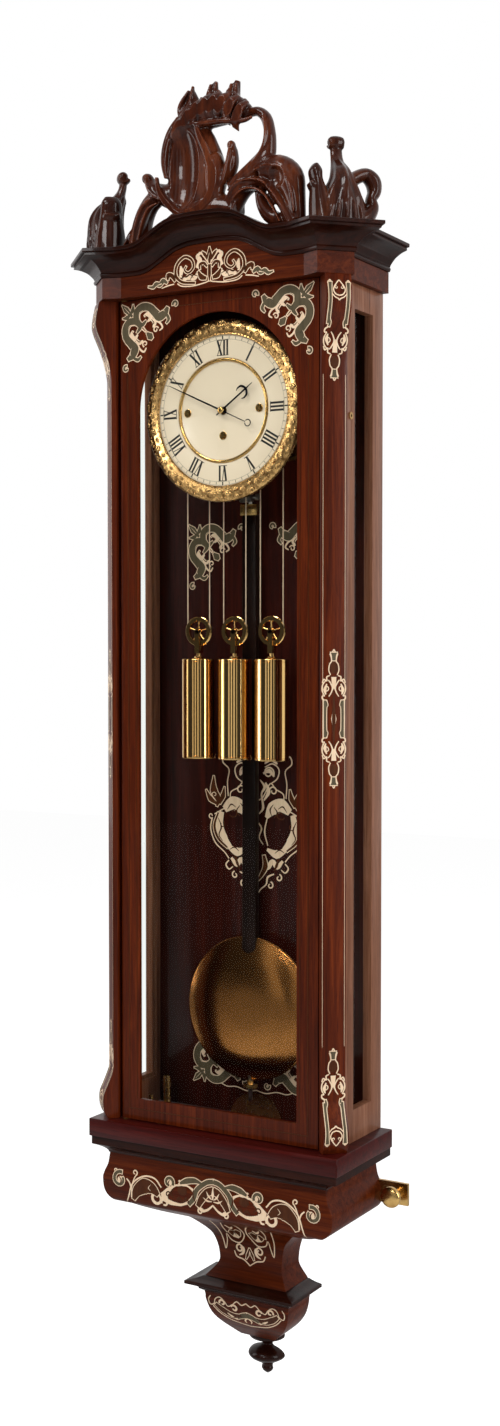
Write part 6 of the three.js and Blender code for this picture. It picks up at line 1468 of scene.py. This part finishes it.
def around(name, shape, finish, radius, count, start=0.0, small=1.0, large=1.0, seed=3, height=0.0):
    """Geometry Nodes copy one shape round the dial centre, its top outwards."""
    tree = bpy.data.node_groups.new(name, "GeometryNodeTree")
    ask = {}
    tree.interface.new_socket("Geometry", in_out="INPUT", socket_type="NodeSocketGeometry")
    for label, kind in around_inputs:
        ask[label] = tree.interface.new_socket(label, in_out="INPUT", socket_type=kind).identifier
    tree.interface.new_socket("Geometry", in_out="OUTPUT", socket_type="NodeSocketGeometry")
    given = tree.nodes.new("NodeGroupInput").outputs
    made = tree.nodes.new("NodeGroupOutput")

    def step(kind, *values, **settings):
        item = tree.nodes.new(kind)
        for key, value in settings.items():
            setattr(item, key, value)
        for socket, value in zip(item.inputs, values):
            feed(tree, socket, value)
        return item

    marks = step("GeometryNodePoints", given["Count"])
    share = maths(tree, "DIVIDE", step("GeometryNodeInputIndex").outputs[0], given["Count"])
    angle = maths(tree, "ADD", maths(tree, "MULTIPLY", share, 2 * math.pi), given["Start"])
    across = maths(tree, "MULTIPLY", maths(tree, "SINE", angle), given["Radius"])
    up = maths(tree, "MULTIPLY", maths(tree, "COSINE", angle), given["Radius"])
    place = step("ShaderNodeCombineXYZ", across, given["Forward"], up)
    set_marks = node(tree, "GeometryNodeSetPosition", Geometry=marks.outputs[0], Position=place.outputs[0])
    spin = step("ShaderNodeCombineXYZ", 0.0, angle, 0.0)
    to_turn = step("FunctionNodeEulerToRotation", spin.outputs[0])
    chance = step("FunctionNodeRandomValue", data_type="FLOAT")
    floats = [s for s in chance.inputs if s.type == "VALUE"]
    feed(tree, floats[0], given["Smallest"])
    feed(tree, floats[1], given["Largest"])
    feed(tree, chance.inputs["Seed"], given["Seed"])
    size = next(s for s in chance.outputs if s.type == "VALUE")
    copies = node(tree, "GeometryNodeInstanceOnPoints", Points=set_marks.outputs[0],
        Instance=given["Geometry"], Rotation=to_turn.outputs[0], Scale=size)
    real = step("GeometryNodeRealizeInstances", copies.outputs[0])
    coat = node(tree, "GeometryNodeSetMaterial", Geometry=real.outputs[0], Material=given["Finish"])
    feed(tree, made.inputs[0], coat.outputs[0])
    held = bpy.data.objects.new(name, shape)
    scene.collection.objects.link(held)
    repeat = held.modifiers.new("round the dial", "NODES")
    repeat.node_group = tree
    answers = (radius * mm, count, math.radians(start), small, large, seed, height * mm, finish)
    for (label, _), value in zip(around_inputs, answers):
        repeat[ask[label]] = value
    graph = bpy.context.evaluated_depsgraph_get()
    mesh = bpy.data.meshes.new_from_object(held.evaluated_get(graph))
    bpy.data.objects.remove(held)
    mesh.transform(Matrix.Translation(at(0, 0, dial_centre)))
    return mesh


def local(parts):
    """A mesh in millimetres about its own origin."""
    mesh = solid(parts)
    mesh.transform(Matrix.Translation((0, 0, -case_drop)))
    return mesh


minute_mark = local([block(-0.3, 0.3, -0.06, 0.04, -1.4, 1.4)])
five_mark = local([block(-0.7, 0.7, -0.07, 0.05, -1.9, 1.9)])
minutes = around("minute ring", minute_mark, fired_black, 77.2, 60, height=-96)
fives = around("five minute ring", five_mark, fired_black, 77.4, 12, height=-96)
piece("minute_marks", minutes, fired_black, "case")
piece("five_minute_marks", fives, fired_black, "case")
circles = []
for radius in (75.4, 79.2):
    inner, outer = radius - 0.12, radius + 0.12
    circles.append(round_dial([(inner, -95.95), (inner, -96.05), (outer, -96.05), (outer, -95.95)]))
piece("minute_circles", solid(circles), fired_black, "case", smooth_angle=20)


def numeral(signs):
    """Strokes of a Roman numeral, upright, 16 mm high, laid between -8 and 8."""
    widths = {"I": 3.9, "V": 7.4, "X": 7.6}
    total = sum(widths[s] for s in signs)
    x = -total / 2
    strokes = []
    for sign in signs:
        w = widths[sign]
        c = x + w / 2
        if sign == "I":
            strokes.append(((c, 8), (c, -8), 2.2))
        if sign == "V":
            strokes.append(((c - 2.3, 8), (c, -8), 2.3))
            strokes.append(((c + 2.3, 8), (c, -8), 0.8))
        if sign == "X":
            strokes.append(((c - 2.5, 8), (c + 2.5, -8), 2.3))
            strokes.append(((c + 2.5, 8), (c - 2.5, -8), 0.8))
        x += w
    strokes.append(((-total / 2 + 0.4, 8), (total / 2 - 0.4, 8), 0.7))
    strokes.append(((-total / 2 + 0.4, -8), (total / 2 - 0.4, -8), 0.7))
    return strokes


numeral_radius = 66.5
hour_signs = ("XII", "I", "II", "III", "IIII", "V", "VI", "VII", "VIII", "IX", "X", "XI")
numeral_parts = []
for hour, signs in enumerate(hour_signs):
    turn = math.radians(30 * hour)
    for j, ((ax, az), (bx, bz), width) in enumerate(numeral(signs)):
        run = Vector((bx - ax, bz - az)).normalized() * 0.1
        side_way = Vector((-run.y, run.x)).normalized() * (width / 2)
        sx, sz = side_way
        outline = [(ax + sx, az + sz), (bx + sx, bz + sz), (bx - sx, bz - sz), (ax - sx, az - sz)]
        moved = []
        for x, z in outline:
            z += numeral_radius
            height = dial_centre - x * math.sin(turn) + z * math.cos(turn)
            moved.append((x * math.cos(turn) + z * math.sin(turn), height))
        numeral_parts.append(prism(moved, -96.05 - 0.004 * j, -95.95))
piece("hour_numerals", solid(numeral_parts), fired_black, "case", smooth_angle=10)

# Bezel: a cast and chased gilt wreath of flowers and leaves round the dial, with a beaded inner edge,
# pressed over the edge of the dial plate.
gilt = metal("chased gilt", tone(206, 164, 106), tone(112, 78, 42), roughness=0.24, scale=190, scratch=0.3,
    shaded=0.06)
bezel_rows = [(80, -96.3), (80, -97.4), (80.8, -98.2), (81.8, -97.9), (84, -98.6), (88.5, -100), (93, -98.9),
    (96, -97), (96.6, -96.3), (96.9, -95), (96.9, -92.5), (88.4, -92.5), (88.4, -96.3)]
piece("bezel_shown", solid([round_dial(bezel_rows)]), gilt, "case", ["bezel"], 30)
bead = local([ball(0, 0, 0, 0.95, 0.9, 0.95, 6, 10)])
petals = []
for k in range(5):
    a = 2 * math.pi * k / 5
    way = Vector((math.sin(a), 0, math.cos(a)))
    path = []
    for t, half, lift in ((0, 0.5, 0.5), (0.35, 1.6, 1.0), (0.7, 2.1, 0.7), (0.95, 1.2, 0.1),
            (1.0, 0.3, -0.2)):
        path.append((way * (4.4 * t) + Vector((0, -lift, 0)), half, 0.55, inwards))
    petals.append(limb(path, 8))
petals.append(ball(0, -1.1, 0, 1.2, 1.0, 1.2, 6, 10))
flower = local(petals)
leaf_parts = []
for tilt in (-38, 0, 38):
    a = math.radians(tilt)
    way = Vector((math.sin(a), 0, math.cos(a)))
    path = [(way * (5.4 * t) + Vector((0, -lift, 0)), half, 0.5, inwards)
        for t, half, lift in ((0, 0.4, 0.1), (0.3, 1.1, 0.5), (0.65, 1.3, 0.4), (1, 0.2, -0.3))]
    leaf_parts.append(limb(path, 8))
leaf = local(leaf_parts)
inward_leaf = leaf.copy()
inward_leaf.transform(Matrix.Rotation(math.pi, 4, "Y"))
wreath = [
    ("wreath beads", bead, 81.4, 132, 0, 1, 1, -98),
    ("wreath flowers", flower, 88.6, 30, 6, 0.8, 0.98, -100.4),
    ("wreath outer leaves", leaf, 91.2, 30, 0, 0.85, 1.0, -99.6),
    ("wreath inner leaves", inward_leaf, 87.4, 30, 0, 0.7, 0.85, -100.2),
    ("wreath buds", bead, 92.8, 60, 3, 1.0, 1.5, -99),
]
for name, shape, radius, count, start, small, large, forward in wreath:
    mesh = around(name, shape, gilt, radius, count, start, small, large, 7, forward)
    piece(name.replace(" ", "_"), mesh, gilt, "case", smooth_angle=50)

# Hands: cut from thin steel, polished and blued, the minute hand with an open ring on its tail and the
# hour hand with a crescent near its tip, pressed on their arbors and held by a brass cap.
def clock_hand(degrees, height, line, hub, bend_rows):
    """A thin hand: (distance, half width) rows along it, and its bend as (along, across, half width) rows."""
    turn = math.radians(degrees)
    out = Vector((math.sin(turn), 0, math.cos(turn)))
    over = Vector((math.cos(turn), 0, -math.sin(turn)))
    centre = Vector((0, height, dial_centre))
    half_deep = 0.42
    stem = [(centre + out * d, half, half_deep, inwards) for d, half in line]
    boss = [(0, height - 0.5), (hub, height - 0.5), (hub, height + 0.5), (0, height + 0.5)]
    bend_path = smooth_rows(bend_rows, 6)
    bent = [(centre + out * a + over * b, half, half_deep, inwards) for a, b, half in bend_path]
    return solid([limb(stem, 12), turned(boss, (0, 0, dial_centre), "Y", 40), limb(bent, 12)])


ring_turns = np.linspace(math.radians(20), math.radians(340), 13)
tail_ring = [(-36.5 + 3.4 * math.cos(a), 3.4 * math.sin(a), 0.6) for a in ring_turns]
crescent = [(26, -5.2, 0.3), (29, -6.6, 0.8), (33.5, -5.6, 1.2), (36, -1.5, 1.3), (36, 1.5, 1.3),
    (33.5, 5.6, 1.2), (29, 6.6, 0.8), (26, 5.2, 0.3)]
minute_line = [(-33, 0.5), (-10, 0.6), (0, 1.1), (12, 0.95), (40, 0.8), (71.9, 0.35)]
hour_line = [(-8, 0.7), (0, 1.2), (15, 1.0), (36, 0.9), (45.9, 0.35)]
minute_shape = clock_hand(295, -100.7, minute_line, 3.3, tail_ring)
hour_shape = clock_hand(54.6, -98.5, hour_line, 3.6, crescent)
piece("minute_hand_shown", minute_shape, blued, "minute_hand", ["minute_hand"], 40)
piece("hour_hand_shown", hour_shape, blued, "hour_hand", ["hour_hand"], 40)
cap_profile = eased([(0, -102.9), (2.2, -102.6), (3.4, -101.9), (3.5, -101.3), (0, -101.3)], 3)
cap = solid([turned(cap_profile, (0, 0, dial_centre), "Y", 32)])
piece("hand_cap", cap, brass, "minute_hand", smooth_angle=40)

# Pendulum: a flat ebonised rod hung from the suspension spring by a brass head plate, with a lens-shaped
# bob of brass sheet filled with lead that slides on the rod and rests on a rating nut.
rod_wood = wood("rod wood", tone(12, 6, 3), tone(22, 10, 6), tone(34, 17, 11), stretch=(60, 60, 5), coat=0.1)
on_rod = (0, -28, 0)
wood_rod = eased_edges(solid([block(-8.5, 8.5, -32.5, -23.5, 125, 667)]), 0.6, 3, 40)
piece("pendulum_wood_rod", wood_rod, rod_wood, "pendulum", ["pendulum_rod"], 30)
head_plate = eased_edges(solid([block(-10.5, 10.5, -34, -22, 667, 679)]), 0.4, 2, 40)
rod_metal = solid([
    turned([(0, 678.5), (2, 678.5), (2, 820.5), (0, 820.5)], on_rod, "Z", 24),
    turned([(0, 18.8), (1.5, 19.2), (2.5, 20.6), (2.5, 125.5), (0, 125.5)], on_rod, "Z", 28),
    block(-0.4, 0.4, -32, -24, 820, 837.7),
])
piece("pendulum_head_plate", head_plate, brass, "pendulum", smooth_angle=30)
piece("pendulum_metal_rod", rod_metal, steel, "pendulum", smooth_angle=40)
# The darker tone, drawn out in upright streaks, is painted reflection of bands in the room.
bob_brass = metal("bob brass", tone(160, 108, 58), tone(138, 88, 44), roughness=0.17, scale=10,
    stretch=(1, 1, 0.06), scratch=0.0, dulling=0.05)
bob_profile = eased([(0, -12), (26, -11.5), (50, -9.2), (66, -5.7), (76, -2.6), (78.6, -1.7)], 6)
bob_profile += eased([(79.4, -1.6), (80, -0.9), (80, 0.9), (79.4, 1.6)], 3)
bob_profile += eased([(78.6, 1.7), (76, 2.6), (66, 5.7), (50, 9.2), (26, 11.5), (0, 12)], 6)
bob_disc = solid([turned(bob_profile, (0, -28, 123), "Y", 160)])
bob_mesh = cut_out(bob_disc, [
    [block(-9, 9, -33, -23, 118, 240)],
    [block(-9, 9, -60, -27.9, 194, 240)],
    [turned([(0, -60), (9, -60), (9, -27.9), (0, -27.9)], (0, 0, 194), "Y", 48)],
    [turned([(0, 20), (3.1, 20), (3.1, 130), (0, 130)], on_rod, "Z", 32)],
])
piece("pendulum_bob_shown", bob_mesh, bob_brass, "bob", ["pendulum_bob"], 25)
refinish("rating_nut", brass)

# Beat plate: a half-round brass scale under the bob, to read the swing of the pendulum, pinned to
# the back board.
refinish("beat_plate", brass)

# Weights: brass tubes filled with lead, each hung by a stirrup from a spoked brass pulley that runs
# in a loop of gut line.
# The darker tone, drawn out in upright streaks, is painted reflection of bands in the room.
weight_brass = metal("weight brass", tone(236, 190, 124), tone(214, 166, 100), roughness=0.07, scale=14,
    stretch=(1, 1, 0.04), scratch=0.0, dulling=0.03)
tube = [(0, 401), (18.4, 401)] + eased([(18.8, 401.1), (19.15, 401.5), (19.25, 402.2)], 3)
tube += [(19.25, 403.6), (19.0, 403.8), (19.0, 404.2), (19.25, 404.4)]
tube += [(19.25, 506.4), (19.0, 506.6), (19.0, 507), (19.25, 507.2)]
tube += eased([(19.25, 508.6), (19.1, 509.6), (18.4, 510)], 3) + [(8, 510.2), (6, 511.6), (5, 513), (0, 513)]
rim = [(11, -69), (11, -65), (11.3, -64.6), (15.5, -64.5), (15.8, -64.8), (15.8, -65.3), (13.4, -66.6),
    (13, -67), (13.4, -67.4), (15.8, -68.7), (15.8, -69.2), (15.5, -69.5), (11.3, -69.4)]
hub = [(1.8, -69.5), (3.6, -69.5), (4, -69.1), (4, -64.9), (3.6, -64.5), (1.8, -64.5)]
weight_front, pulley_height = -67, 540
cheek_faces = ((-71.9, -70.4), (-63.6, -62.1))
for x, side in ((-46, "left"), (0, "middle"), (46, "right")):
    under_weight = (x, weight_front, 0)
    pulley_centre = (x, 0, pulley_height)
    parts = [
        turned(tube, under_weight, "Z", 96),
        turned([(0, 512.9), (2.5, 512.9), (2.5, 517), (0, 517)], under_weight, "Z", 24),
        block(x - 3, x + 3, -71.9, -62.1, 516, 519),
    ]
    parts += [block(x - 3, x + 3, y0, y1, 518.9, pulley_height) for y0, y1 in cheek_faces]
    parts += [turned([(0, y0), (3, y0), (3, y1), (0, y1)], pulley_centre, "Y", 28) for y0, y1 in cheek_faces]
    parts.append(turned([(0, -71.9), (1.5, -71.9), (1.5, -62.1), (0, -62.1)], pulley_centre, "Y", 20))
    weight = solid(parts)
    piece(f"{side}_weight_shown", weight, weight_brass, f"{side}_weight", [f"{side}_weight"], 30)
    wheel = [turned(rim, pulley_centre, "Y", 72), turned(hub, pulley_centre, "Y", 32)]
    for k in range(5):
        a = 2 * math.pi * k / 5
        foot = Vector((x + 3.6 * math.sin(a), weight_front, pulley_height + 3.6 * math.cos(a)))
        end = Vector((x + 11.6 * math.sin(a), weight_front, pulley_height + 11.6 * math.cos(a)))
        spoke = [(foot, 1.3, 1.2, inwards), ((foot + end) / 2, 0.9, 1.1, inwards), (end, 1.3, 1.2, inwards)]
        wheel.append(limb(spoke, 12))
    pulley = solid(wheel)
    piece(f"{side}_pulley_shown", pulley, weight_brass, f"{side}_pulley", [f"{side}_pulley"], 35)

# Gut lines: each runs from its barrel down round the pulley and up to a hook on the seat of the
# movement, so it lengthens as the weight falls; twisted from two strands.
gut = plain_inlay("gut line", tone(214, 184, 150), tone(238, 214, 184))
line_radius, loop_radius, strand_dip = 0.7, 14, 0.14
for x, side, barrel_x, barrel_z in ((-46, "left", -30.5, 774.5), (0, "middle", 14, 748),
        (46, "right", 58.5, 774.5)):
    down = [(x + loop_radius, z) for z in np.linspace(724, 541, 60)]
    half_turn = np.linspace(0, -math.pi, 25)
    under = [(x + loop_radius * math.cos(a), pulley_height + loop_radius * math.sin(a)) for a in half_turn]
    back_up = [(x - loop_radius, z) for z in np.linspace(541, 724.2, 60)]
    path = [(barrel_x, barrel_z)] + down + under + back_up
    rings = []
    for i, (px, pz) in enumerate(path):
        ax, az = path[max(i - 1, 0)]
        bx, bz = path[min(i + 1, len(path) - 1)]
        across = Vector((bx - ax, 0, bz - az)).normalized().cross(inwards)
        middle = Vector((px, weight_front, pz))
        ring = []
        for k in range(10):
            a = 2 * math.pi * k / 10
            r = line_radius * (1 - strand_dip * abs(math.sin(a + i * 0.9)))
            ring.append(tuple(middle + across * (r * math.cos(a)) + inwards * (r * math.sin(a))))
        rings.append(ring)
    mesh = solid([loft(rings)])
    mesh.materials.append(gut)
    mesh.shade_smooth()
    line = bpy.data.objects.new(f"{side}_line_shown", mesh)
    scene.collection.objects.link(line)
    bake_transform(line)
    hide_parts(f"{side}_line")
